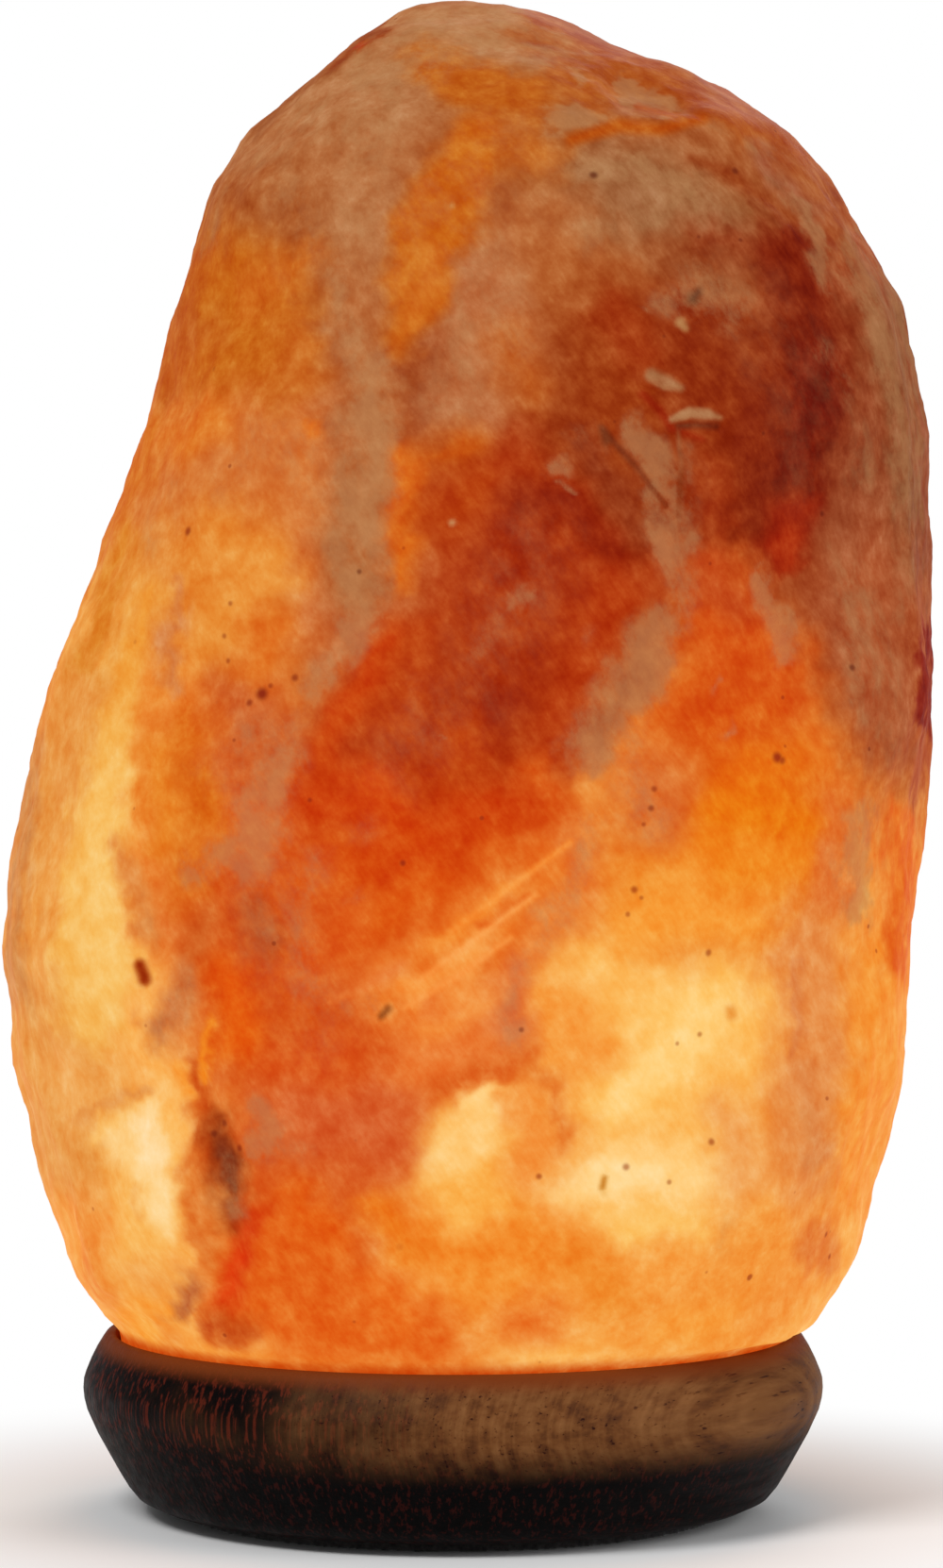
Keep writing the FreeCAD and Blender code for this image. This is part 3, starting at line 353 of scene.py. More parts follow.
# Each stroke: its name, its route of (across, up, half width), the softness of its edge and its display colour.
FRONT = (
    # the grounds that everything else lies on
    ("top ground", ((-30, 214, 26), (6, 236, 20), (50, 214, 22)), 14, (176, 96, 46)),
    ("left ground", ((-40, 186, 14), (-54, 160, 12)), 12, (214, 120, 50)),
    ("right ground", ((66, 200, 18), (70, 160, 18), (72, 132, 12)), 12, (158, 72, 36)),
    ("centre ground", ((-2, 190, 16), (30, 184, 20), (40, 166, 16)), 12, (158, 70, 28)),
    ("heart ground", ((16, 162, 22), (0, 136, 22), (-14, 118, 16)), 10, (182, 70, 24)),
    ("amber ground", ((52, 122, 20), (40, 106, 18)), 10, (226, 118, 36)),
    ("ridge ground", ((-38, 126, 12), (-32, 100, 18), (-22, 72, 18), (-26, 44, 14)), 8, (216, 96, 32)),
    ("foot ground", ((-32, 38, 10), (-18, 32, 9), (-4, 29, 6)), 6, (226, 100, 24)),
    ("streak ground", ((14, 108, 10), (-2, 86, 12)), 8, (226, 112, 44)),
    ("saddle", ((42, 188, 9), (32, 176, 10), (24, 182, 8)), 8, (150, 62, 26)),
    ("cheek ground", ((-16, 176, 10), (-14, 160, 9), (-22, 146, 8)), 7, (190, 96, 46)),
    # broad fields of the top
    ("crown", ((-34, 227, 8), (-20, 236, 10), (0, 246, 9), (14, 243, 7)), 6, (180, 114, 68)),
    ("upper left tan", ((-26, 224, 10), (-14, 216, 12)), 7, (180, 108, 60)),
    ("left dome", ((-36, 221, 5), (-28, 219, 5)), 5, (171, 90, 40)),
    ("left orange field", ((-38, 208, 8), (-30, 198, 9), (-40, 190, 7)), 6, (196, 98, 18)),
    ("left amber field", ((-44, 178, 9), (-34, 177, 12), (-26, 166, 8)), 7, (212, 118, 52)),
    ("left dark orange", ((-26, 196, 4), (-28, 190, 4)), 4, (200, 104, 32)),
    ("cheek tan", ((6, 209, 8), (8, 198, 9), (3, 189, 7)), 7, (187, 110, 64)),
    ("cheek foot", ((10, 196, 4), (13, 190, 4)), 5, (188, 92, 32)),
    ("upper right ground", ((22, 238, 9), (36, 228, 13), (50, 220, 10)), 8, (168, 90, 44)),
    ("brow tan", ((20, 226, 7), (33, 222, 9), (46, 216, 6)), 6, (160, 100, 60)),
    ("slope tan", ((15, 216, 7), (19, 206, 5)), 6, (180, 98, 46)),
    ("red brown field", ((27, 199, 7), (28, 186, 10), (26, 172, 9)), 7, (154, 58, 15)),
    ("red brown right", ((40, 200, 8), (46, 188, 9), (46, 172, 9)), 6, (146, 50, 13)),
    ("maroon", ((57, 210, 6), (60, 196, 7), (58, 180, 9), (55, 168, 7)), 5, (126, 32, 6)),
    ("right brown", ((73, 202, 5), (76, 180, 5), (77, 162, 5)), 6, (142, 74, 40)),
    ("right mottle", ((66, 186, 3), (69, 174, 4)), 4, (144, 62, 30)),
    ("right pink", ((66, 166, 4), (70, 158, 5)), 4, (158, 84, 50)),
    # broad fields of the middle
    ("left shoulder", ((-40, 160, 10), (-36, 148, 10)), 7, (226, 134, 48)),
    ("left flank", ((-54, 158, 6), (-60, 142, 8), (-66, 120, 9), (-69, 92, 9), (-64, 62, 9)), 6, (229, 150, 68)),
    ("shoulder brown", ((-25, 160, 4), (-26, 148, 5)), 5, (206, 112, 54)),
    ("ridge top", ((-35, 137, 6), (-30, 128, 6)), 5, (204, 96, 40)),
    ("ridge orange", ((-45, 130, 5), (-45, 118, 6), (-43, 106, 5)), 4, (222, 118, 32)),
    ("ridge field", ((-34, 104, 8), (-32, 88, 11), (-24, 78, 11)), 6, (212, 86, 22)),
    ("heart", ((12, 168, 10), (16, 152, 13), (6, 136, 13), (-8, 124, 11)), 9, (172, 54, 10)),
    ("heart left", ((-8, 146, 5), (-10, 134, 6)), 4, (184, 62, 12)),
    ("heart foot", ((-20, 120, 6), (-6, 115, 8), (8, 116, 8)), 5, (203, 66, 10)),
    ("heart hem", ((-20, 108, 6), (-8, 104, 6), (8, 110, 5)), 5, (214, 84, 16)),
    ("heart right", ((26, 152, 5), (22, 142, 5), (18, 130, 5)), 4, (180, 60, 14)),
    ("slanted ground", ((35, 149, 3), (30, 138, 4), (24, 130, 3)), 4, (178, 82, 32)),
    ("right orange field", ((46, 152, 8), (50, 140, 11), (44, 134, 8)), 6, (211, 82, 16)),
    ("right knot", ((44, 158, 4), (48, 154, 4)), 4, (192, 72, 22)),
    ("right amber field", ((52, 122, 9), (52, 114, 9)), 6, (228, 110, 14)),
    ("pink orange", ((34, 124, 6), (36, 114, 6)), 5, (219, 110, 42)),
    ("low amber field", ((46, 106, 10), (34, 104, 8)), 6, (239, 142, 44)),
    ("streak field", ((16, 108, 6), (4, 98, 7), (-8, 88, 6)), 5, (232, 122, 40)),
    ("jaw field", ((64, 118, 4), (63, 104, 5)), 4, (224, 116, 46)),
    ("right column", ((70, 158, 7), (72, 142, 7), (73, 132, 5)), 7, (172, 84, 44)),
    # broad fields of the foot
    ("light field", ((26, 88, 11), (42, 78, 14), (34, 62, 13), (30, 52, 10)), 7, (249, 184, 92)),
    ("left light field", ((16, 84, 6), (22, 76, 6)), 5, (243, 152, 60)),
    ("middle slope", ((-24, 68, 9), (-12, 66, 9)), 6, (214, 96, 42)),
    ("slope right", ((-6, 76, 5), (2, 78, 5), (-2, 84, 5)), 5, (232, 122, 50)),
    ("foot field", ((-28, 44, 8), (-22, 38, 8)), 6, (225, 100, 24)),
    ("foot gold", ((0, 46, 8), (6, 42, 9), (14, 44, 9)), 6, (240, 138, 42)),
    ("right foot field", ((26, 38, 9), (44, 36, 9), (54, 44, 8)), 6, (241, 150, 58)),
    ("right flank", ((60, 96, 6), (62, 76, 7), (61, 58, 7)), 5, (229, 142, 72)),
    ("right rim field", ((72, 94, 4), (72, 74, 4), (67, 54, 4)), 4, (243, 150, 54)),
    ("island ground", ((2, 62, 7), (2, 54, 6)), 4, (249, 182, 88)),
    # crown
    ("crown light", ((-8, 250, 4), (6, 250, 4)), 4, (184, 122, 76)),
    ("crown blob", ((-4, 243, 3.5), (3, 240, 4.5), (13, 237, 4)), 2.6, (190, 96, 22)),
    ("ear ember", ((-20, 244.5, 1.6), (-13, 249, 1.6)), 1.8, (152, 60, 14)),
    ("ember speck", ((-17, 246, .8), (-15.6, 247.4, .8)), 1, (176, 56, 8)),
    ("crown edge", ((-34, 232, 1), (-26, 239, 1.2), (-21, 242, 1)), 1.4, (158, 84, 38)),
    ("brow rim", ((14, 250, 3), (30, 243.5, 2.6), (46, 236, 3), (56, 229, 3)), 2.6, (170, 80, 26)),
    ("brow ground", ((18, 241, 3), (24, 239, 3)), 3, (180, 92, 30)),
    ("top link", ((8, 230, 5), (16, 229, 4)), 4, (188, 94, 26)),
    ("long vein", ((3, 230, 5), (0, 222, 6.5), (-5, 212, 5.5), (-6, 204, 5), (-9, 198, 3)), 2.6, (198, 98, 18)),
    ("veil ground", ((-18, 210, 3), (-17, 200, 5), (-14, 188, 6), (-15, 172, 6), (-17, 158, 5)), 4, (182, 104, 54)),
    ("long vein light", ((-4, 210, 2), (-7, 202, 2.5)), 3, (206, 108, 28)),
    ("left rim ember", ((-42, 212, 1.2), (-46, 198, 1.8), (-49, 188, 1.2)), 2.6, (190, 90, 20)),
    ("left rim orange", ((-50, 184, 2), (-54, 174, 2.4), (-57, 168, 2)), 2.4, (212, 112, 30)),
    ("left field light", ((-32, 206, 4), (-24, 212, 2)), 4, (204, 104, 26)),
    ("left field low", ((-46, 180, 3), (-40, 184, 4)), 4, (219, 116, 34)),
    ("orange drop", ((-23, 181.4, 1.2),), 1.4, (226, 116, 26)),
    ("edge orange", ((-8, 177, 2.5), (-8, 166, 2.5), (-9, 158, 2)), 2.2, (214, 102, 22)),
    ("low orange", ((2, 181, 3), (-3, 178, 2)), 3, (202, 96, 24)),
    ("heart top", ((3, 173, 4), (-3, 168, 3)), 4, (182, 66, 14)),
    ("heart deep", ((12, 170, 4), (20, 170, 5), (26, 164, 4)), 4, (146, 36, 6)),
    ("heart deep left", ((8, 162, 4), (16, 158, 4)), 4, (160, 44, 8)),
    ("heart core", ((12, 142, 5), (6, 136, 5)), 4, (164, 46, 7)),
    ("heart low", ((2, 128, 5), (-4, 122, 4)), 5, (188, 62, 9)),
    ("heart ember", ((-17, 136, 3), (-13, 146, 3), (-22, 126, 2.5)), 3, (200, 70, 13)),
    ("heart glow", ((-14, 122, 3), (-4, 112, 4), (-14, 110, 3)), 4, (209, 71, 9)),
    ("heart spark", ((14, 124, 3), (18, 118, 3)), 4, (212, 82, 16)),
    ("heart hem light", ((-2, 106, 3), (-12, 100, 3), (-18, 96, 3)), 3.5, (220, 92, 18)),
    # brow and maroon
    ("red under brow", ((27, 203, 3), (31, 196, 4)), 4, (158, 54, 14)),
    ("brow brown", ((38, 212, 4), (45, 209, 3)), 4, (152, 74, 34)),
    ("brow dark", ((42, 214, 2), (50, 212, 3)), 3, (142, 54, 20)),
    ("red spine", ((55, 213, 2.4), (58, 206, 3)), 2.6, (126, 32, 6)),
    ("maroon deep", ((61, 194, 3), (60, 186, 4), (57, 178, 3)), 3.5, (112, 20, 5)),
    ("maroon left", ((50, 192, 3), (51, 180, 4)), 4, (138, 42, 10)),
    ("maroon foot", ((57, 168, 4), (55, 163, 3)), 3, (150, 34, 6)),
    ("red tongue", ((55, 163, 1.6), (57, 160, 1.4)), 2.2, (168, 44, 8)),
    ("red lane", ((43, 176, 2.4), (44, 166, 3)), 3, (160, 56, 16)),
    ("brown lane", ((23, 180, 2), (28, 172, 2.4), (31, 166, 2)), 2.4, (146, 56, 22)),
    ("rim line", ((64, 222, 1), (66, 213, 1.2)), 1.2, (158, 76, 36)),
    ("right top brown", ((52, 228, 2.4), (60, 218, 2)), 2.6, (160, 84, 52)),
    ("right rim", ((79.5, 186, 1), (80, 160, 1)), 1.2, (150, 74, 44)),
    # left band
    ("shoulder glow", ((-38, 162, 3), (-31, 158, 5), (-41, 150, 3)), 4, (231, 146, 58)),
    ("shoulder orange", ((-31, 148, 4), (-33, 142, 3)), 3.5, (222, 116, 36)),
    ("column dark", ((-46.6, 157, .8), (-47.6, 146, 1.4), (-48, 138, 1)), 1.4, (214, 130, 70)),
    ("line light", ((-60, 158, 1.4), (-65, 146, 1.4)), 1.6, (238, 162, 74)),
    ("line dark", ((-55, 164, 2), (-59, 151, 2), (-62, 142, 1.6)), 2, (219, 130, 38)),
    ("band top", ((-51, 156, 1.6), (-55, 144, 3), (-57, 134, 3)), 2.6, (238, 162, 66)),
    ("band", ((-57, 132, 3.5), (-60, 116, 4.5), (-62, 102, 6.5), (-60, 84, 6.5)), 3, (243, 182, 90)),
    ("band light", ((-58, 122, 2.4), (-60, 104, 3.6), (-58, 90, 4)), 3, (246, 193, 105)),
    ("band notch", ((-57, 113, .8), (-53, 104, 2), (-51, 97, 2)), 1.6, (223, 134, 62)),
    ("rim tan", ((-71, 130, 2), (-74, 108, 2.4), (-75, 88, 2.4)), 2.4, (216, 138, 70)),
    ("rim light", ((-67, 112, 1.6), (-70, 92, 1.6)), 2.4, (236, 160, 76)),
    ("orange edge", ((-50, 128, 2), (-49, 112, 2.4)), 3, (231, 136, 42)),
    ("ridge hot top", ((-42, 124, 2.4), (-43, 118, 2)), 2.2, (215, 102, 16)),
    ("ridge left", ((-42, 98, 3), (-45, 90, 2)), 3, (210, 102, 38)),
    ("ridge brown", ((-33, 101, 3), (-31, 96, 2.4)), 3, (192, 80, 28)),
    ("ridge hot", ((-38, 90, 3), (-36, 80, 4)), 3.4, (226, 94, 14)),
    ("ridge warm", ((-24, 92, 4), (-18, 98, 3)), 4, (219, 92, 24)),
    ("facet light", ((-66, 74, 4), (-63, 68, 4)), 3.6, (238, 168, 88)),
    # right of the middle
    ("rim red", ((80.5, 150, 1), (81, 140, 1.2), (80, 132, .8)), .9, (134, 30, 14)),
    ("rim brown", ((78.6, 130, 1), (78.4, 122, 1)), 1.4, (178, 80, 32)),
    ("rim orange", ((75, 118, 2), (76, 104, 2), (75, 92, 2)), 2, (226, 104, 24)),
    ("hot orange", ((44, 131, 3), (52, 134, 3)), 4, (214, 84, 12)),
    ("deep amber", ((52, 118, 5), (46, 117, 4), (58, 117, 4)), 4, (232, 118, 10)),
    ("amber", ((46, 110, 4), (56, 110, 3)), 4, (238, 134, 28)),
    ("light amber", ((30, 98, 4), (38, 102, 4), (50, 99, 4)), 4, (245, 158, 58)),
    ("streak", ((10, 105, 1), (5, 101, 1.6), (-2, 95.5, 1.6)), 1.8, (240, 138, 48)),
    ("streak low", ((8, 99, 1.2), (2, 93, 2), (-6, 88, 2)), 1.8, (244, 152, 66)),
    ("streak foot", ((0, 88, 2.4), (6, 86, 2), (-4, 82, 2)), 2.4, (240, 144, 62)),
    ("streak shade", ((12, 104, 1), (6, 98, 1)), 1.2, (226, 106, 30)),
    ("red below streak", ((12, 92, 2), (10, 82, 3)), 3, (222, 110, 52)),
    # the island and the pale heart
    ("hollow", ((-2, 71, 1.6), (4, 75, 2), (12, 76, 2.4)), 2, (219, 98, 30)),
    ("hollow right", ((13, 74, 2), (18, 71, 1.6)), 2.4, (226, 118, 40)),
    ("island", ((-3, 60, 2.4), (2, 63, 4), (7, 68, 3.4)), 3.0, (251, 200, 120)),
    ("island crest", ((2, 68.6, 1), (8, 71, 1.2)), 1.2, (252, 204, 126)),
    ("island foot", ((0, 54, 3), (8, 52, 3)), 3.4, (248, 178, 82)),
    ("blob", ((12, 69, 3), (14, 61, 4), (12, 57, 3)), 2.4, (241, 148, 62)),
    ("blob edge", ((17.6, 71, 1), (19, 66, 1.2), (18.4, 61, 1)), 1.4, (228, 122, 44)),
    ("pale heart", ((46, 88, 5), (38, 82, 6), (34, 74, 5), (28, 69, 4)), 5.4, (251, 198, 108)),
    ("pale core", ((42, 84, 3), (38, 78, 3), (31, 71, 3)), 3, (252, 206, 124)),
    ("pale gap", ((27, 64.6, .8), (36, 63.6, 1.2), (43, 65, 1)), 2.4, (248, 182, 90)),
    ("belly", ((18, 53, 3), (28, 58, 5), (40, 56, 5)), 5, (252, 206, 130)),
    ("belly core", ((24, 56, 2.4), (33, 57, 2.4)), 2.6, (253, 216, 150)),
    ("belly foot", ((30, 48, 3), (40, 47, 3)), 3.4, (250, 196, 106)),
    ("pale edge", ((47, 66, 3.4), (49, 56, 3.6)), 4, (239, 166, 92)),
    ("veil line", ((58.4, 92, .8), (58, 78, .8)), 1, (221, 132, 70)),
    ("veil low", ((60, 74, 2.4), (61, 60, 2.4)), 2.6, (223, 138, 74)),
    ("low spots", ((62, 47, 2), (62, 41, 2.4)), 2.4, (226, 126, 54)),
    ("low amber", ((22, 42, 3), (27, 37, 4)), 3.4, (238, 140, 44)),
    ("low red", ((10, 31, 2.4), (16, 32, 3)), 5, (230, 112, 34)),
    ("low gold", ((34, 30, 2.4), (46, 33, 3)), 3, (245, 160, 64)),
    ("low tan", ((34, 40, 3), (40, 42, 3)), 3.4, (244, 158, 66)),
    ("low right", ((58, 38, 3), (52, 32, 2)), 3, (241, 150, 62)),
    # the cell at the left foot and the cleft beside it
    ("cell glow", ((-53, 62, 5), (-51, 54, 7), (-52, 42, 5)), 3.4, (246, 180, 88)),
    ("cell top", ((-60, 62, 1.6), (-54, 67, 1.6)), 1.8, (248, 190, 104)),
    ("cell", ((-50.5, 70, .8), (-53, 61, 5), (-49, 54, 3.4), (-47, 47, 1)), 2.4, (251, 208, 138)),
    ("cell core", ((-52, 66, 1.6), (-50, 60, 2)), 2, (252, 216, 158)),
    ("cell streak", ((-54, 54, .8), (-52, 50, 1)), 1.2, (243, 180, 98)),
    ("cell line", ((-64, 65.6, .6), (-58, 68.6, .8), (-52, 71.4, .8)), 1, (228, 150, 74)),
    ("cell foot", ((-52, 40, 3.4), (-48, 37, 3)), 3.4, (240, 162, 76)),
    ("cell corner", ((-54, 33, 2.6), (-50, 30.6, 1.8)), 2.6, (247, 160, 58)),
    ("cell shade", ((-46.6, 34, 1.6), (-44, 37, 1.6)), 2, (188, 98, 50)),
    ("cell right", ((-43.6, 60, 1.2), (-42, 50, 1.6), (-42, 42, 1.6)), 1.8, (222, 118, 44)),
    ("cleft side", ((-43, 76, 1.4), (-42, 68, 2), (-40, 58, 2)), 2, (206, 86, 22)),
    ("cleft", ((-40, 66, 1.4), (-38, 60, 2), (-38, 54, 1.8), (-37.4, 48, 1.2)), 3.0, (150, 62, 22)),
    ("cleft deep", ((-38, 62, 1), (-37.6, 55, 1)), 1.6, (128, 48, 20)),
    ("ember", ((-34.6, 50, 2), (-35.6, 42, 2.4), (-37.4, 36, 2.4)), 2.6, (212, 66, 14)),
    ("ember core", ((-35.8, 42, 1.2), (-37, 38, 1.4)), 2, (224, 68, 14)),
    ("ember foot", ((-40, 32, 2.4), (-36, 30, 2)), 2.6, (196, 76, 20)),
    ("ridge light", ((-41.4, 81, .8), (-40.4, 74, 1.2)), 1.3, (240, 138, 34)),
    ("ridge spark", ((-45.6, 75, 1), (-45, 70, 1)), 1.3, (246, 160, 62)),
    ("ear shade", ((-46, 90, 2), (-48, 80, 2)), 2.4, (208, 116, 58)),
    ("slope pink", ((-22, 66, 4), (-14, 66, 4)), 5, (214, 98, 46)),
    ("slope red", ((-30, 76, 3), (-18, 76, 4)), 4, (214, 80, 18)),
    ("slope light", ((-20, 86, 1), (-14, 89, 1.4), (-8, 92, 1.4)), 1.6, (230, 122, 52)),
    ("foot amber", ((-12, 50, 3), (-6, 44, 3)), 3.4, (234, 120, 26)),
    ("foot orange", ((-26, 52, 3), (-20, 46, 3)), 3.4, (226, 98, 20)),
    ("foot shade", ((-12, 38, 3), (-8, 32, 3)), 3.4, (233, 116, 34)),
)
# The edge of the crystal against the wood: its colour and how far up it fades.
SEAM_COLOUR = (204, 78, 16)
SEAM_HEIGHT = 2.2

# Each haze: its name, its route, the softness of its edge and how thick it is.
HAZES = (
    ("maroon mottle", ((46, 208, 8), (58, 192, 8), (60, 172, 6)), 7, .20),
    ("heart mottle", ((14, 162, 10), (4, 140, 9), (-10, 126, 7)), 8, .22),
    ("ridge mottle", ((-36, 124, 8), (-30, 98, 8), (-22, 80, 6)), 7, .26),
    ("top mottle", ((-20, 212, 14), (10, 226, 14)), 10, .22),
    ("crown haze", ((-14, 242, 7), (2, 250, 6), (16, 245, 4)), 5, .50),
    ("left crown haze", ((-34, 226, 3), (-24, 234, 6), (-14, 230, 7)), 7, .42),
    ("crown seam", ((-12, 234, 6), (-14, 222, 7), (-19, 208, 4)), 7, .34),
    ("upper left mottle", ((-28, 222, 5), (-22, 214, 4)), 5, .36),
    ("veil top", ((-19.4, 212, 1.6), (-19, 204, 1.8), (-16, 195, 3)), 3.6, .66),
    ("veil", ((-13, 192, 4), (-14, 184, 5), (-15, 172, 5), (-16, 156, 4)), 4.6, .76),
    ("veil grey", ((-14, 187, 3), (-13, 182, 2)), 3.4, .92),
    ("veil foot", ((-15, 153, 3), (-18, 146, 2), (-23, 139, 2)), 2.6, .74),
    ("left edge haze", ((-38, 222, 1.4), (-41, 213, 1.2)), 2, .40),
    ("cheek veil", ((4, 212, 6), (7, 200, 7), (0, 190, 6)), 6, .42),
    ("left cheek haze", ((-26, 178, 5), (-22, 168, 4)), 5, .36),
    ("low left haze", ((-38, 172, 4), (-30, 184, 4)), 5, .28),
    ("temple haze", ((-48, 172, 2), (-52, 162, 1.6)), 3, .36),
    ("purple veil", ((-28, 127, 3.4), (-32, 118, 5.4), (-33, 110, 4.6)), 4, .84),
    ("purple arm", ((-36, 113, 2.4), (-43, 107, 2.4)), 2.4, .84),
    ("purple veil top", ((-34, 130, 4), (-26, 134, 2.4)), 4, .46),
    ("purple tail", ((-33, 104, 3), (-31, 97, 3)), 4, .40),
    ("pink edge", ((-52, 104, 1.4), (-50, 97, 1.4)), 2.2, .40),
    ("ear haze", ((-46, 88, 2), (-48, 80, 2)), 2.6, .54),
    ("ridge haze", ((-24, 110, 2.4), (-27, 96, 3), (-22, 84, 2)), 4, .46),
    ("heart haze", ((-15, 115, 2.4),), 3, .40),
    ("heart haze low", ((-17, 103, 1.6),), 1.8, .50),
    ("heart haze high", ((-6, 136, 2), (-3, 129, 2.4)), 3, .30),
    ("heart veil", ((-7, 140, 1.4), (-4, 132, 1.4)), 2, .32),
    ("round haze", ((12.5, 154, 2.2),), 2, .82),
    ("round haze tail", ((8, 151, 1.6), (4, 146, 2.4)), 3, .44),
    ("small haze", ((22.6, 147, 1.4),), 1.8, .42),
    ("stripe haze", ((-20, 82.6, .7), (-13, 85.6, 1.1)), 1.4, .52),
    ("slope haze", ((-28, 88, 2.4), (-24, 92, 2)), 3.5, .34),
    ("knee haze", ((-33, 68, 1.6), (-31.4, 64.6, 2.4), (-34, 61, 1.2)), 1.8, .92),
    ("knee tail", ((-32, 61, 2), (-24, 60, 1.6)), 2.8, .48),
    ("cleft haze", ((-37, 60, .8), (-37.6, 55, 1.4), (-37, 51, 1)), 2, .76),
    ("cell corner haze", ((-46.6, 33, 1.2),), 1.6, .52),
    ("left rim haze", ((-71, 126, 1.4), (-74, 104, 1.6), (-72, 84, 1.6)), 2.4, .34),
    ("slanted haze", ((36, 150, 3), (32, 142, 4.4), (28, 134, 5), (23, 129, 4)), 3.6, .92),
    ("slanted middle", ((30, 126, 4), (33, 117, 4)), 5, .44),
    ("slanted low", ((25, 116, 2.4), (20, 107, 2.4), (16, 99, 2.4), (12, 91, 2)), 4, .54),
    ("slanted foot", ((10, 88, 1.6), (10, 80, 2)), 3, .48),
    ("wedge", ((30, 183, 1.8), (33, 178, 3.2), (35.6, 171, 3.6), (37, 163, 3.8)), 2, .84),
    ("wedge light", ((31, 181, .7), (36, 172, .9)), 1, .92),
    ("wedge right", ((40, 178, 1.2), (40, 168, 1.4)), 2, .46),
    ("wedge tail", ((37, 162, 3), (38, 156, 3), (37, 150, 2)), 3, .62),
    ("wedge left", ((22, 182, 1.2), (26, 178, 1)), 1.8, .46),
    ("heart eye", ((18.6, 177.6, 2),), 1.6, .84),
    ("heart eye tail", ((18, 173.5, .6), (21, 172, .6)), .8, .60),
    ("cheek haze", ((53, 157, 1.6), (56, 151, 2.6), (56, 145, 1.8)), 1.8, .78),
    ("jaw haze", ((69, 119, 1.6), (69, 110, 2.6), (68.4, 101, 2)), 2, 1.0),
    ("jaw side", ((66, 112, 1.6), (65, 102, 2)), 3, .40),
    ("column haze", ((66, 160, 3), (70, 150, 3.4), (72, 140, 3.4), (74, 128, 2)), 5, .46),
    ("column light", ((67, 158, 1.6), (68, 146, 2), (70, 134, 2)), 3, .70),
    ("right edge haze", ((66, 214, 2), (72, 203, 4), (76, 188, 3), (77, 168, 2.5)), 4, .70),
    ("right edge low", ((76, 172, 2.5), (77, 152, 2.5)), 4.4, .46),
    ("right mottle", ((62, 196, 1.6), (66, 192, 2), (66, 186, 1.4)), 2.4, .46),
    ("right mottle low", ((68, 182, 2), (70, 174, 3)), 3.6, .44),
    ("patch", ((28.6, 241, 2.2), (31, 238.6, 3.2), (36, 236.6, 1.6)), 1, .86),
    ("shelf", ((17.6, 234, 1.5), (22, 234.6, 2), (25, 235, 1.4)), 1.1, .78),
    ("fleck", ((21.6, 243, 1.3), (22.2, 240.6, 1.3)), 1.1, .70),
    ("brow haze", ((22, 227, 3), (32, 226, 4), (44, 220, 3.4)), 4.6, .60),
    ("brow haze low", ((24, 217, 4), (36, 219, 3)), 5, .50),
    ("brow pink", ((44, 233, 2), (52, 228, 2), (56, 223, 1.8)), 2.6, .44),
    ("temple streak", ((56, 221, 1.2), (60.5, 216, 2.2), (62.5, 209, 1.5)), 1.6, .86),
    ("mottle", ((41, 209, 3), (44, 204, 3), (36, 205, 1.6)), 3, .58),
    ("mottle right", ((48, 207, 1.6), (47, 200, 2.4), (51, 204, 1.2)), 2.2, .44),
    ("mottle low", ((34, 203, .9),), 1, .44),
    ("right low haze", ((59, 66, 3), (61, 58, 3)), 5, .24),
    ("foot haze", ((46, 45, 2.4), (48, 50, 2)), 3, .26),
    ("pink dot", ((31, 92, 1.4),), 1.8, .28),
    ("haze dot", ((46, 131, 1),), 1.3, .56),
    ("haze dot high", ((45.4, 139.5, .6),), .8, .44),
    ("cheek point", ((52.6, 158.8, .7),), .8, .70),
    ("pale spark", ((-2.6, 130.8, .5), (-1.4, 129.6, .4)), .6, .55),
)

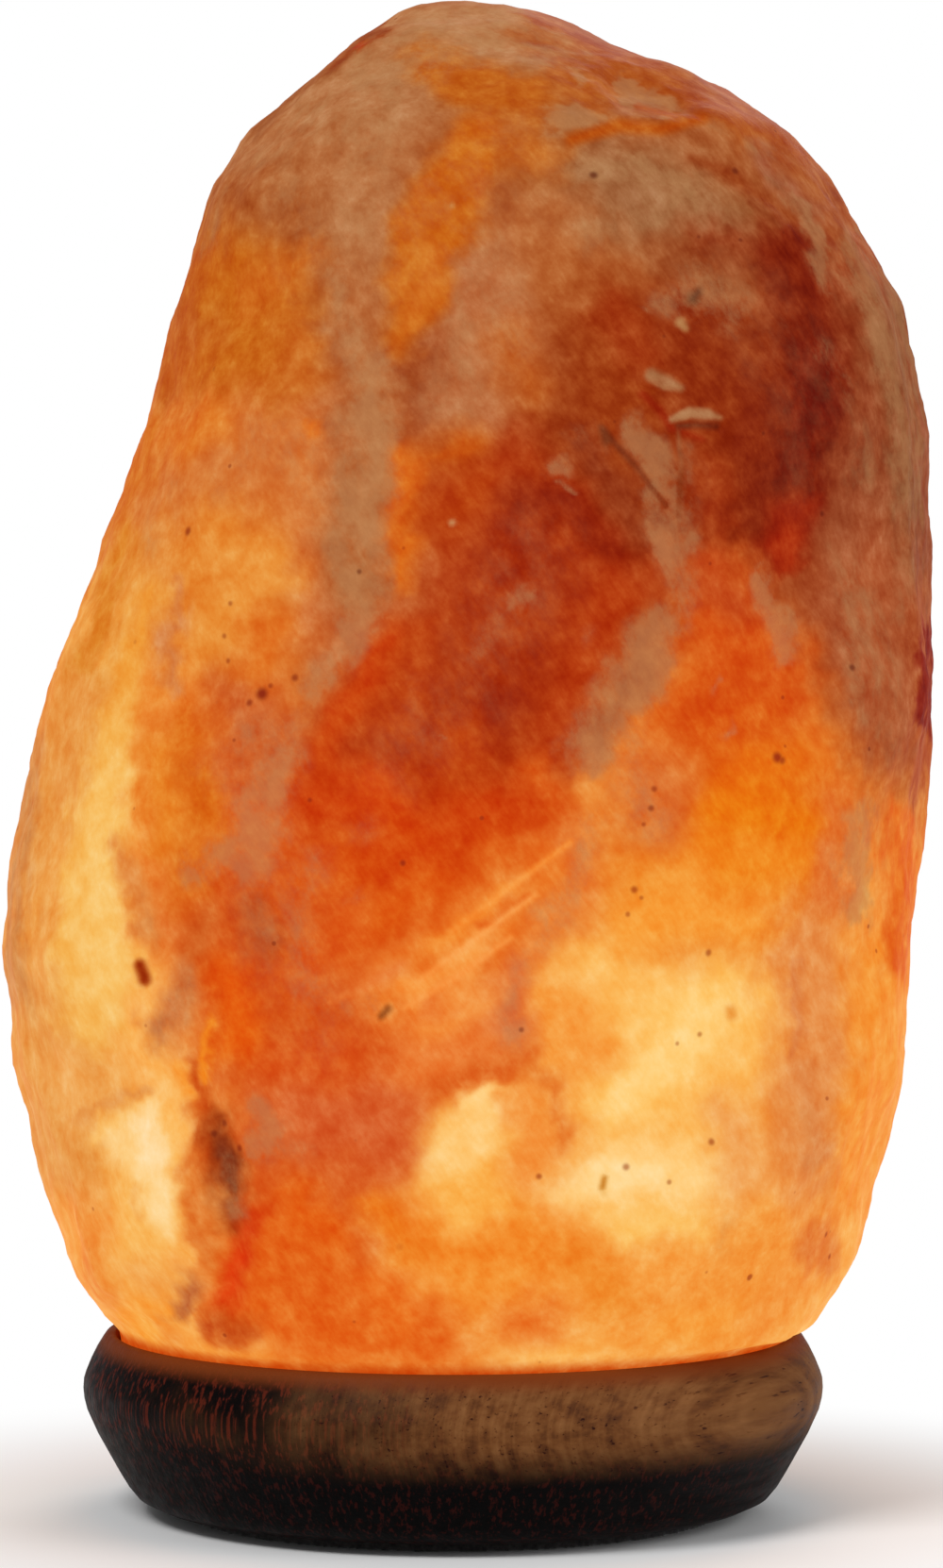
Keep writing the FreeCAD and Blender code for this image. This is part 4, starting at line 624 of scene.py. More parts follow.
# Fine marks, painted last: name, route, softness, display colour, haze.
MARKS = (
    ("brow vein", ((20, 231, .9), (28, 233.4, 1.2), (35, 232.8, 1), (42, 234.6, .7)), 1, (182, 82, 16), .0),
    ("brow vein tail", ((31, 236.6, .5), (38, 234.8, .5)), .8, (172, 78, 20), .0),
    ("brow cut", ((40, 228, .6), (46, 225.6, 1.4), (51, 222, 1), (57, 218, .4)), 1.4, (146, 60, 20), .05),
    ("brow cut low", ((50, 220.6, .4), (55, 216.6, .4)), .8, (142, 62, 26), .15),
    ("temple lines", ((53, 224.6, .3), (58, 220.4, .3), (61, 215, .3)), .6, (148, 76, 42), .3),
    ("chip", ((33.6, 191.6, 1.1), (36, 190.4, 1.2), (38.4, 189.4, .5)), .8, (158, 92, 54), .70),
    ("chip shade", ((32, 188.4, .5), (35, 185.6, .6), (37, 182.6, .6), (42, 180.8, .4)), .8, (146, 34, 6), .0),
    ("crescent", ((37, 184.2, .5), (40, 185.3, .9), (43, 185, .9), (45, 184.4, .4)), .6, (166, 104, 66), .66),
    ("crescent shade", ((38, 183, .4), (41, 183.2, .5), (44.4, 183, .5)), .6, (112, 36, 12), .2),
    ("pale fleck", ((38.4, 200.4, .8), (39.2, 199.4, .5)), .7, (178, 120, 70), .55),
    ("dark fleck", ((40.4, 204.4, .9), (41.4, 205.6, .6)), 1, (104, 54, 32), .25),
    ("wedge line", ((25, 183, .3), (28, 179.4, .5), (32, 175, .4), (36, 169.6, .3)), .6, (124, 50, 22), .1),
    ("wedge root", ((26, 180.6, .7), (25.4, 182.2, .5)), .9, (118, 54, 26), .1),
    ("wedge crease", ((38, 182, .3), (38.6, 176, .4), (38, 168, .3)), .6, (140, 62, 28), .25),
    ("white dot", ((0, 166.8, .5),), .6, (206, 150, 104), .75),
    ("star", ((0, 220, .3),), .7, (208, 150, 96), .45),
    ("streak line high", ((20, 113, .3), (10, 105.5, .5), (0, 98, .3)), .8, (245, 150, 62), .0),
    ("streak line", ((14, 104, .3), (5, 97.5, .5), (-5, 90, .3)), .8, (247, 158, 76), .0),
    ("streak line low", ((10, 97, .3), (2, 91, .5), (-8, 85, .3)), .8, (246, 154, 72), .0),
    ("big speck", ((-52.7, 92.2, .9), (-51.9, 89.8, 1.0)), .8, (158, 52, 8), .0),
    ("streak speck", ((-11.9, 83.6, .5), (-10.8, 84.8, .6)), .7, (142, 66, 20), .0),
    ("amber speck", ((47.0, 84.6, .8), (47.2, 83.8, .8)), .8, (232, 146, 54), .0),
    ("belly speck", ((25.4, 54.6, .5), (25.8, 56.2, .4)), .6, (206, 138, 52), .0),
)

# Strokes on the sides that the photograph doesn't show, by the turn of the viewer they face.
OTHER_SIDES = {
    180: (
        ("back light", ((-20, 52, 12), (14, 66, 14), (30, 88, 10)), 12, (252, 196, 112)),
        ("back cell", ((20, 50, 4), (28, 60, 6)), 4, (254, 218, 156)),
        ("back amber", ((-40, 84, 12), (-26, 112, 12)), 10, (240, 146, 54)),
        ("back red", ((20, 128, 10), (34, 158, 13), (28, 184, 10)), 9, (168, 50, 10)),
        ("back red left", ((-42, 148, 8), (-48, 172, 8)), 8, (186, 66, 14)),
        ("back foot", ((-36, 34, 8), (6, 32, 7), (40, 36, 8)), 7, (236, 122, 36)),
        ("back top", ((-20, 214, 14), (10, 236, 12)), 10, (182, 92, 34)),
    ),
    90: (
        ("right light", ((-10, 58, 13), (8, 84, 11)), 11, (250, 182, 90)),
        ("right red", ((6, 128, 11), (-6, 158, 13)), 9, (172, 52, 10)),
        ("right edge", ((28, 112, 6), (30, 146, 7)), 7, (214, 98, 24)),
        ("right top", ((-4, 196, 12), (10, 222, 9)), 9, (158, 72, 28)),
    ),
    -90: (
        ("left light", ((-8, 60, 13), (10, 96, 13)), 11, (250, 190, 100)),
        ("left amber", ((-22, 122, 10), (-4, 152, 11)), 9, (232, 140, 52)),
        ("left red", ((22, 166, 9), (14, 192, 9)), 8, (188, 74, 18)),
        ("left cell", ((18, 48, 5), (14, 62, 5)), 4, (254, 212, 146)),
    ),
}
OTHER_HAZES = {
    180: (
        ("back veil", ((4, 222, 5), (-8, 190, 5), (4, 160, 6), (-14, 128, 4)), 4, .78),
        ("back wedge", ((38, 130, 3), (30, 110, 3.5), (34, 94, 2)), 2, .75),
        ("back patch", ((-34, 218, 6), (-46, 204, 5)), 4, .70),
        ("back knee", ((-30, 70, 3), (-36, 62, 2)), 2, .65),
    ),
    90: (
        ("right veil", ((-18, 190, 4), (-8, 168, 5), (-14, 140, 5), (-4, 116, 3)), 4, .74),
        ("right patch", ((18, 182, 5), (24, 170, 4)), 3, .72),
    ),
    -90: (
        ("left veil", ((10, 208, 4), (2, 184, 5), (6, 150, 5), (-6, 124, 3)), 4, .72),
        ("left patch", ((-20, 92, 3), (-24, 78, 3)), 3, .60),
    ),
}

# Hollows in the skin of the front: name, route, softness and depth.
DENTS = (
    ("cleft", ((-44, 73, 1.4), (-38, 60, 2.2), (-37, 49, 2), (-38, 36, 1.4)), 3, 1.7),
    ("chip", ((33, 191, 1.6), (38, 190, 1)), 1.4, .9),
    ("crescent", ((37, 182.6, 1), (44.5, 182.6, 1)), 1.2, .9),
    ("patch", ((28, 241, 2), (32, 238, 3.5), (37, 237, 1.6)), 1.6, .8),
    ("wedge", ((31, 183, 2), (34, 176, 3), (38, 163, 3)), 2, .6),
    ("island line", ((-6, 68, 1), (2, 71, 1), (10, 75, 1)), 1.8, .7),
    ("brow cut", ((42, 227, 1), (50, 224, 1.4), (58, 218, .8)), 1.6, .8),
    ("cell rim", ((-58, 62, 1), (-55, 70, 1), (-46, 72, 1)), 2, .6),
    ("long crease", ((-44, 160, 1), (-48, 146, 1.4), (-47, 132, 1)), 2.4, .6),
)

# The light in the salt by how near the bulb it is, in display colours: through clear salt, and through red salt.
GLOW_STEPS = (0.0, 0.25, 0.5, 0.72, 0.88, 1.0)
AMBER = ((128, 54, 20), (172, 84, 32), (216, 106, 30), (241, 146, 54), (250, 188, 100), (254, 214, 146))
EMBER = ((92, 18, 6), (134, 34, 7), (182, 58, 10), (214, 84, 16), (236, 122, 36), (246, 156, 70))
INSIDE = (255, 206, 132)

# Grains of grit in the salt, seen as dark dots: across, up and radius on the front.
SPECKS = (
    (55.0, 127.3, 1.2), (55.6, 126.4, 0.9), (-32.6, 137.6, 1.35), (-34.4, 136.2, 0.8), (-31.0, 139.4, 0.6),
    (-44.8, 165.2, 1.0), (23.7, 225.4, 1.0), (47.2, 225.6, 0.8), (-27.0, 141.2, 0.8), (-38.2, 148.4, 0.6),
    (-37.6, 144.2, 0.6), (-37.2, 153.2, 0.6), (-16.2, 158.6, 0.6), (26.7, 121.8, 0.6), (34.0, 122.2, 0.7),
    (34.0, 118.8, 0.7), (32.4, 116.2, 0.5), (31.0, 105.2, 0.8), (29.8, 101.4, 0.6), (32.4, 103.4, 0.5),
    (43.6, 94.2, 0.8), (67.2, 142.2, 0.8), (29.8, 58.4, 0.8), (36.4, 55.6, 0.6), (44.2, 62.2, 0.8),
    (11.4, 81.2, 0.6), (19.2, 81.2, 0.6), (3.0, 79.2, 0.5), (38.0, 78.6, 0.5), (41.9, 81.0, 0.6),
    (-40.2, 63.2, 0.8), (-38.6, 65.6, 0.8), (-36.0, 61.2, 0.8), (18.0, 35.6, 0.6), (63.2, 46.6, 0.7),
    (63.6, 43.2, 0.7), (-23.6, 120.4, 0.5), (8.2, 128.4, 0.5), (62.4, 168.6, 0.6), (52.4, 181.2, 0.5),
)

# The warp of the front's strokes, across and up: height, size, seed and octaves of each noise.
WARPS = (((2.2, 9.0, 31, 3), (1.2, 3.2, 33, 3)), ((2.2, 9.0, 32, 3), (1.2, 3.2, 34, 3)))
# The directions in which the salt was laid down, and how much longer than thick its layers are.
LAYER_AXES = np.array([[0.80, 0.10, 0.50], [-0.15, 0.95, 0.10], [-0.42, -0.10, 0.75]])
LAYER_SQUEEZE = np.array([1.0, 1.0, 0.42])
LAYER_SIZE = 23.0
# The glow over the distance from the bulb's middle: its most, where it starts to fall, and how far off it has fallen
# by 1. Heights count a little less than widths.
GLOW_MOST, GLOW_START, GLOW_FALL, HEIGHT_WEIGHT = 1.04, 36.0, 150.0, 0.92
GLOW_LUMPS = ((0.10, 30.0, 35, 3),)
# Where the painting of the front gives way to that of the sides, by how much the skin faces the viewer.
FRONT_EDGE = (-0.42, 0.06)
FRONT_LUMPS = ((0.22, 12.0, 38, 3),)
SIDE_EDGE = (0.15, 0.65)
# The red layers: where they start in the noise, their share on the sides and on the front, and what they dim.
RED_EDGE, RED_SHARE, RED_SHARE_FRONT, RED_LOSS = (0.02, 0.30), 0.85, 0.15, 0.08
# Frost: in thin ridges of the layers from some height on, and on what faces upward where the glow is weak.
RIDGE_FROST, RIDGE_SHARPNESS, RIDGE_EDGE, RIDGE_HEIGHTS = 0.62, 5.0, (0.25, 0.9), (60.0, 130.0)
TOP_FROST, TOP_SLOPES, TOP_GLOW = 0.45, (0.1, 0.9), (0.9, 0.3)


def glow_of_depth(points):
    """1 at the skin next to the bulb, falling towards the thick top."""
    height = HEIGHT_WEIGHT * (points[:, 2] - BULB_HEIGHT)
    away = np.sqrt((points[:, 0] ** 2 + points[:, 1] ** 2) + height ** 2)
    return GLOW_MOST - (away - GLOW_START) / GLOW_FALL


def ramp_colours(values, colours):
    """Display colours, from 0 to 1, between the steps of the glow."""
    return np.stack([np.interp(values, GLOW_STEPS, np.array(part) / 255.0) for part in zip(*colours)], axis=1)


def blend_in(colours, share, colour):
    """Paint a display colour over what is there."""
    colours += share[:, None] * (np.array(colour) / 255.0 - colours)


def layers(points, seed):
    """Noise in long slanting layers."""
    return wander((points @ LAYER_AXES) * LAYER_SQUEEZE, LAYER_SIZE, seed)


def paint_deposit(points, normals, glow, front):
    """What the bulb's light makes of clear and red layers, and of frosty ones, before any stroke."""
    red = (ease(layers(points, 36), *RED_EDGE) * (RED_SHARE - (RED_SHARE - RED_SHARE_FRONT) * front))[:, None]
    colours = (1 - red) * ramp_colours(glow, AMBER) + red * ramp_colours(glow - RED_LOSS, EMBER)
    ridges = 1.0 - RIDGE_SHARPNESS * np.abs(layers(points + 40.0, 37))
    frost = RIDGE_FROST * ease(ridges, *RIDGE_EDGE) * ease(points[:, 2], *RIDGE_HEIGHTS)
    frost += TOP_FROST * ease(normals[:, 2], *TOP_SLOPES) * ease(glow, *TOP_GLOW)
    return colours, frost


def paint(points, normals):
    """The glow of each place of the skin, as a linear colour, and how thick the haze on it is."""
    warp_across, warp_up = [lumpy(points, lumps) for lumps in WARPS]
    glow = glow_of_depth(points) + lumpy(points, GLOW_LUMPS)
    front = ease(-normals[:, 1] + lumpy(points, FRONT_LUMPS), *FRONT_EDGE)
    colours, haze = paint_deposit(points, normals, glow, front)
    for turn, strokes in OTHER_SIDES.items():
        across, up = face_map(points, turn)
        share = facing(normals, turn, *SIDE_EDGE) * (1.0 - front)
        for _, route, soft, colour in strokes:
            blend_in(colours, share * stroke_share(across + warp_across * 2, up + warp_up * 2, route, soft), colour)
        for _, route, soft, thickness in OTHER_HAZES[turn]:
            cover = share * stroke_share(across + warp_across, up + warp_up, route, soft)
            haze = np.maximum(haze, cover * thickness)
    haze *= 1.0 - front
    across, up = face_map(points, 0)
    for _, route, soft, colour in FRONT:
        blend_in(colours, front * stroke_share(across + warp_across, up + warp_up, route, soft), colour)
    for _, route, soft, thickness in HAZES:
        cover = front * stroke_share(across + warp_across, up + warp_up, route, soft)
        haze = np.maximum(haze, cover * thickness)
    for _, route, soft, colour, thickness in MARKS:
        share = front * stroke_share(across, up, route, soft)
        blend_in(colours, share, colour)
        haze += share * (thickness - haze)
    blend_in(colours, 1 - ease(points[:, 2], SEAT_TOP - 0.4, SEAT_TOP + SEAM_HEIGHT), SEAM_COLOUR)
    inside = in_hollow(points).astype(float)
    blend_in(colours, inside, INSIDE)
    return to_linear(np.clip(colours, 0.0, 1.0)), haze * (1.0 - inside)


def write_light(mesh, colours, haze):
    """Store the paint on the mesh, where the material reads it."""
    light = mesh.color_attributes.new("light", "FLOAT_COLOR", "POINT")
    light.data.foreach_set("color", np.hstack([colours, np.ones((len(colours), 1))]).ravel())
    mesh.attributes.new("haze", "FLOAT", "POINT").data.foreach_set("value", haze)


# ---------------------------------------------------------------- crystal: the rock itself

FROST = (120, 89, 57)
# Grit, as linear colours: what it leaves of the glow, and its own colour in the room's light.
SPECK_GLOW = (0.42, 0.14, 0.06, 1.0)
SPECK_BODY = (0.02, 0.008, 0.004, 1.0)
# The fine scattered grit: the size of its cells, the radius of a dot in cells, its rarity and its strength.
FINE_GRIT = ((7.0, 0.075, 0.60, 0.6), (17.0, 0.05, 0.50, 0.8))
# How far each noise swings the depth of the colour: a factor and an offset.
CLOUD_SWING, BLOTCH_SWING, FIBRE_SWING = (0.28, -0.12), (1.04, -0.52), (0.32, -0.16)
# How far lumps and crumbs break up the haze: a factor and an offset.
LUMP_BREAK, CRUMB_BREAK = (2.6, -1.3), (0.6, -0.3)
# How much of the glow a full haze takes away, and how much darker the salt is by the room's light than by its own.
HAZE_LOSS = 0.40
BODY_LOSS = 0.97
# Strokes with edges this soft, or harder, get smaller faces.
FINE_EDGE = 1.3


def speck_share(shader, specks):
    """1 in the middle of each grain of grit, those listed and a scatter of small ones."""
    share = 0.0
    for place, radius in specks:
        away = shader.node("ShaderNodeVectorMath", {0: shader.place, 1: place * MM}, operation="DISTANCE")
        strength = min(1.0, 0.35 + radius * 0.5)
        dot = shader.step(away.outputs["Value"], radius * MM * 1.15, radius * MM * 0.2, 0.0, strength)
        share = shader.greater(share, dot)
    for size, edge, rarity, strength in FINE_GRIT:
        away, chance = shader.dots(size, shift=size)
        dot = shader.times(shader.step(away, edge, edge * 0.4), shader.step(chance, rarity, rarity + 0.04))
        share = shader.greater(share, shader.times(dot, strength))
    return share


def rock_salt(specks):
    """Lit from inside: the glow is painted on the mesh, and a frosty haze over it scatters the room's light."""
    shader = Shader("rock_salt")
    painted = shader.node("ShaderNodeAttribute", attribute_name="light").outputs["Color"]
    haze = shader.node("ShaderNodeAttribute", attribute_name="haze").outputs["Fac"]
    cloud = shader.grain(10.0, 3.0)
    blotch = shader.grain(4.0, 5.0, 0.60, shift=3.0)
    fibre = shader.grain(0.8, 3.0, 0.6, stretch=(1, 1, 4.5), turn=(0.0, 0.6, 0.3), shift=7.0)
    swing = shader.add(shader.fit(cloud, *CLOUD_SWING), shader.fit(blotch, *BLOTCH_SWING))
    swing = shader.add(swing, shader.fit(fibre, *FIBRE_SWING))
    light = shader.deepen(painted, shader.add(swing, 1.0))
    lumps = shader.grain(5.0, 6.0, 0.66, stretch=(1, 1, 1.8), turn=(0.0, 0.45, 0.2), shift=11.0)
    crumbs = shader.grain(1.1, 3.0, 0.6, shift=15.0)
    uneven = shader.add(shader.fit(lumps, *LUMP_BREAK), shader.fit(crumbs, *CRUMB_BREAK))
    haze = shader.step(shader.fit(shader.step(haze, 0.0, 0.5), uneven, haze), 0.0, 1.0)
    light = shader.mix(haze, light, shader.mix(HAZE_LOSS, light, BLACK))
    body = shader.mix(haze, shader.mix(BODY_LOSS, light, BLACK), linear(FROST))
    speck = speck_share(shader, specks)
    light = shader.mix(speck, light, shader.mix(1.0, light, SPECK_GLOW, "MULTIPLY"))
    body = shader.mix(speck, body, SPECK_BODY)
    relief = shader.add(blotch, shader.times(fibre, 0.6))
    shader.set(Base_Color=body, Emission_Color=light, Emission_Strength=1.0, Roughness=0.55,
               Specular_IOR_Level=0.02, Normal=shader.bump(relief, 0.4, 0.30))
    return shader.material


def nearest_point(points, normals, across, up):
    """The point of the front that shows at a place of the face map."""
    seen_across, seen_up = face_map(points, 0)
    away = np.hypot(seen_across - across, seen_up - up) + np.where(normals[:, 1] < 0, 0.0, 1e6)
    return Vector(points[int(np.argmin(away))])


def refine_near_marks(mesh):
    """Split the faces of the front that fine marks cross, so that their edges stay sharp."""
    points, normals = read_points(mesh), read_normals(mesh)
    across, up = face_map(points, 0)
    near = np.zeros(len(points), bool)
    for _, route, soft, *_ in MARKS + HAZES + FRONT:
        if soft <= FINE_EDGE:
            near |= stroke_share(across, up, route, soft + 1.0) > 0
    near &= normals[:, 1] < 0.1
    with editing(mesh) as builder:
        edges = [edge for edge in builder.edges if all(near[vertex.index] for vertex in edge.verts)]
        bmesh.ops.subdivide_edges(builder, edges=edges, cuts=2, use_grid_fill=True)


def make_crystal():
    piece = remeshed_copy("salt_crystal", "crystal_rock", ROCK_VOXEL)
    mesh = piece.data
    points = read_points(mesh)
    edges = read_rows(mesh.edges, "vertices", 2, np.int32)
    write_points(mesh, relax(points, edges, outside_share(points)[:, None]))
    refine_near_marks(mesh)
    points, normals = read_points(mesh), read_normals(mesh)
    lift = lumpy(points, ROCK_LUMPS) - ROCK_SUNK
    across, up = face_map(points, 0)
    for _, route, soft, depth in DENTS:
        lift -= depth * facing(normals, 0, 0.0, 0.3) * stroke_share(across, up, route, soft)
    points = push_out(mesh, outside_share(points) * lift, "salt_crystal", BOX_MARGIN)
    normals = read_normals(mesh)
    write_light(mesh, *paint(points, normals))
    specks = [(nearest_point(points, normals, across, up), radius) for across, up, radius in SPECKS]
    mesh.shade_smooth()
    finish_piece(piece, rock_salt(specks), "lamp_body", "rock_salt", "salt_crystal")


# ---------------------------------------------------------------- ways of turning and cutting pieces

ON_AXIS = 1e-6


def smooth(mesh, angle=35.0):
    """Smooth shading that keeps edges over an angle sharp."""
    mesh.shade_smooth()
    mesh.set_sharp_from_angle(angle=math.radians(angle))


def lathe(name, profile, steps=96, closed=True, ripple=None, centre=(0.0, 0.0)):
    """Turn a profile of (radius, height) points; ripple(radius, angle, height) may change each point's radius."""
    mesh = bpy.data.meshes.new(name)
    angles = [2 * math.pi * step / steps for step in range(steps)]
    with editing(mesh) as builder:
        rings = []
        for radius, height in profile:
            if radius < ON_AXIS:
                reach = [(0.0, 0.0)]
            else:
                reach = [(ripple(radius, angle, height) if ripple else radius, angle) for angle in angles]
            rings.append([builder.verts.new(((centre[0] + r * math.cos(a)) * MM, (centre[1] + r * math.sin(a)) * MM,
                                             height * MM)) for r, a in reach])
        for lower, upper in list(zip(rings, rings[1:])) + ([(rings[-1], rings[0])] if closed else []):
            for step in range(steps):
                face = [lower[step % len(lower)], lower[(step + 1) % len(lower)],
                        upper[(step + 1) % len(upper)], upper[step % len(upper)]]
                distinct = list(dict.fromkeys(face))
                if len(distinct) > 2:
                    builder.faces.new(distinct)
        bmesh.ops.recalc_face_normals(builder, faces=builder.faces)
    smooth(mesh)
    return new_piece(name, mesh)


def cut(piece, cutters):
    """Take the cutters' solids out of a piece, and delete the cutters."""
    for cutter in cutters:
        hole = piece.modifiers.new("cut", "BOOLEAN")
        hole.operation = "DIFFERENCE"
        hole.object = cutter
    apply_modifiers(piece)
    for cutter in cutters:
        bpy.data.objects.remove(cutter)
    return piece


def block(name, low, high):
    """A box between two corners, to cut with."""
    mesh = bpy.data.meshes.new(name)
    with editing(mesh) as builder:
        bmesh.ops.create_cube(builder, size=1.0)
        for vertex in builder.verts:
            share = vertex.co + Vector((0.5, 0.5, 0.5))
            vertex.co = Vector([low[axis] + share[axis] * (high[axis] - low[axis]) for axis in range(3)]) * MM
    return new_piece(name, mesh)


# ---------------------------------------------------------------- wooden base

# The outline of the turned base as (radius, height over the felt), below and above its widest place.
BASE_BELOW = ((51.0, 0.0), (53.6, 1.2), (55.1, 3.0), (56.6, 5.5), (58.1, 8.2), (60.2, 12.0), (61.9, 15.8),
              (62.35, 17.6))
BASE_WIDEST_HEIGHT = 19.2
BASE_ABOVE = ((62.4, 20.6), (62.1, 21.6), (61.2, 23.8), (60.2, 25.8), (59.2, 27.4), (58.7, 28.1), (58.2, 28.45),
              (57.6, 28.5), (57.1, 28.3), (56.8, 27.8))
SEAT_RADIUS = 56.7
SEAT_DEPTH = 3.0
HOLDER_HOLE_RADIUS = 22.0
RECESS_RADIUS = 27.0
RECESS_CEILING = 14.0
GROOVE_HALF_WIDTH = 4.5
GROOVE_TOP = 10.0
COUNTERBORE_RADIUS = 5.5
COUNTERBORE_TOP = 8.0
SCREW_HOLE_RADIUS = 2.4
SCREW_CIRCLE = 38.0
SCREW_ANGLES = (30.0, 150.0, 270.0)

# The figure of the wood is turned against the view.
WOOD_TURN = (0.0, 0.0, math.radians(34))
WOOD_BROWNS = ((0.0, (6, 2, 1)), (0.3, (52, 22, 11)), (0.6, (104, 63, 31)), (0.85, (122, 80, 44)),
               (1.0, (134, 90, 52)))
WOOD_REDS = ((0.0, (3, 1, 1)), (0.5, (26, 5, 3)), (1.0, (78, 24, 12)))
# Painted shade for the lower part of the base: near black, with dark red streaks of grain in it.
PAINTED_SHADE_BLACK = (0.0005, 0.0002, 0.0002, 1)
SHADED_GRAIN_RED = (46, 10, 6)
LIT_WOOD = (112, 52, 18)
# Where the wood turns from near black to brown from left to right, where painted shade makes it near black, fading
# upward, and where the salt lights the rim, over the floor.
WARM_SPAN = (-45.0, 15.0)
SHADE_SPAN = (12.0, 20.0)
LIT_SPAN = (26.8, 30.0)


def screw_places():
    return [(SCREW_CIRCLE * math.cos(math.radians(a)), SCREW_CIRCLE * math.sin(math.radians(a)))
            for a in SCREW_ANGLES]


def dark_wood():
    """Dark stained wood: near black below by painted shade, warm brown above with fine streaks, and lit orange under
    the salt.
    """
    shader = Shader("dark_wood")
    parts = shader.node("ShaderNodeSeparateXYZ", {0: shader.place})
    height, side = parts.outputs["Z"], parts.outputs["X"]
    streaks = shader.grain(0.7, 2.0, 0.6, stretch=(1, 1, 26))
    rings = shader.grain(1.3, 3.0, 0.6, stretch=(1, 14, 40), turn=WOOD_TURN)
    flow = shader.grain(2.2, 4.0, 0.6, stretch=(1, 10, 1), turn=WOOD_TURN, shift=7.0)
    pores = shader.grain(0.55, 2.0, 0.5, stretch=(1, 9, 1), turn=WOOD_TURN, shift=9.0)
    broad = shader.grain(14.0, 3.0, 0.5, shift=5.0)
    warm = shader.add(shader.span(side, WARM_SPAN), shader.fit(broad, 0.8, -0.4))
    tone = shader.fit(shader.step(flow, 0.3, 0.7), 0.30, 0.30)
    tone = shader.fit(shader.step(rings, 0.32, 0.68), 0.24, tone)
    tone = shader.fit(shader.step(broad, 0.3, 0.7), 0.16, tone)
    tone = shader.calc("SUBTRACT", tone, shader.times(shader.step(pores, 0.62, 0.74), 0.30))
    red = shader.ramp(shader.step(streaks, 0.42, 0.66), WOOD_REDS)
    colour = shader.mix(shader.step(warm, 0.0, 1.0), red, shader.ramp(tone, WOOD_BROWNS))
    # Painted shade: the lower part of the base is near black, with dark red grain streaks in it.
    under = shader.mix(shader.step(streaks, 0.50, 0.68), PAINTED_SHADE_BLACK, linear(SHADED_GRAIN_RED))
    colour = shader.mix(shader.span(height, SHADE_SPAN), under, colour)
    colour = shader.mix(shader.span(height, LIT_SPAN), colour, linear(LIT_WOOD))
    relief = shader.calc("SUBTRACT", rings, pores)
    shader.set(Base_Color=colour, Roughness=shader.step(flow, 0.3, 0.7, 0.48, 0.62), Specular_IOR_Level=0.05,
               Normal=shader.bump(relief, 0.30, 0.20))
    return shader.material


def make_base():
    low, high = corners("wood_base")
    bottom, top, widest = low.z, high.z, high.x
    outer = [(radius, bottom + rise) for radius, rise in (*BASE_BELOW, (widest, BASE_WIDEST_HEIGHT), *BASE_ABOVE)]
    inner = [(SEAT_RADIUS, top - SEAT_DEPTH), (HOLDER_HOLE_RADIUS, top - SEAT_DEPTH),
             (HOLDER_HOLE_RADIUS, RECESS_CEILING), (RECESS_RADIUS, RECESS_CEILING), (RECESS_RADIUS, bottom)]
    piece = lathe("turned_base", outer + inner, steps=192)
    cutters = [block("groove_cutter", (-GROOVE_HALF_WIDTH, RECESS_RADIUS - 3, bottom - 1),
                     (GROOVE_HALF_WIDTH, widest + 5, GROOVE_TOP))]
    profile = [(0, bottom - 1), (COUNTERBORE_RADIUS, bottom - 1), (COUNTERBORE_RADIUS, COUNTERBORE_TOP),
               (SCREW_HOLE_RADIUS, COUNTERBORE_TOP), (SCREW_HOLE_RADIUS, top + 1), (0, top + 1)]
    cutters += [lathe("screw_cutter", profile, steps=48, closed=False, centre=centre) for centre in screw_places()]
    cut(piece, cutters)
    smooth(piece.data)
    finish_piece(piece, dark_wood(), "lamp_body", "dark_wood", "wood_base")


# ---------------------------------------------------------------- materials of the small pieces

# Each recipe: two display colours, the size of the grain that mixes them, the least and most roughness, the depth of
# the grain's relief, and how far the grain is stretched along each axis.
RECIPES = {
    "felt": ((15, 14, 14), (60, 56, 54), 0.5, (0.90, 1.0), 0.14, (1, 1, 1)),
    "zinc_steel": ((146, 148, 147), (196, 198, 195), 1.2, (0.26, 0.48), 0.010, (1, 1, 1)),
    "spring_steel": ((138, 140, 144), (192, 194, 198), 0.25, (0.20, 0.40), 0.006, (1, 1, 18)),
    "painted_plate": ((9, 9, 9), (30, 30, 31), 0.9, (0.34, 0.55), 0.020, (1, 1, 1)),
    "brass": ((170, 130, 60), (224, 186, 108), 1.8, (0.22, 0.44), 0.010, (1, 1, 1)),
    "black_plastic": ((8, 8, 9), (25, 25, 27), 0.45, (0.34, 0.50), 0.020, (1, 1, 1)),
    "grey_nylon": ((118, 118, 114), (154, 154, 150), 0.9, (0.45, 0.62), 0.020, (1, 1, 1)),
    "white_ceramic": ((208, 203, 192), (238, 235, 228), 2.5, (0.10, 0.28), 0.020, (1, 1, 1)),
    "black_glass": ((5, 5, 9), (20, 20, 30), 1.2, (0.03, 0.12), 0.005, (1, 1, 1)),
    "cap_metal": ((160, 160, 162), (210, 210, 213), 0.5, (0.16, 0.34), 0.004, (1, 1, 6)),
    "solder": ((122, 124, 130), (190, 192, 198), 0.6, (0.28, 0.50), 0.040, (1, 1, 1)),
    "nickel_wire": ((112, 110, 106), (172, 168, 162), 0.3, (0.24, 0.42), 0.004, (1, 1, 8)),
    "clear_glass": ((236, 242, 241), (252, 254, 254), 6.0, (0.0, 0.03), 0.004, (1, 1, 1)),
    "tungsten": ((236, 150, 72), (255, 206, 140), 0.3, (0.50, 0.60), 0.004, (1, 1, 1)),
}
METALS = ("zinc_steel", "spring_steel", "brass", "cap_metal", "solder", "nickel_wire")
# What some slots need besides: inputs of their surface.
EXTRAS = {
    "felt": {"Specular_IOR_Level": 0.1, "Sheen_Weight": 0.4, "Sheen_Roughness": 0.6},
    "clear_glass": {"Transmission_Weight": 1.0, "IOR": 1.46},
    **{slot: {"Metallic": 1.0} for slot in METALS},
}
FILAMENT_STRENGTH = 4.0
made_materials = {}


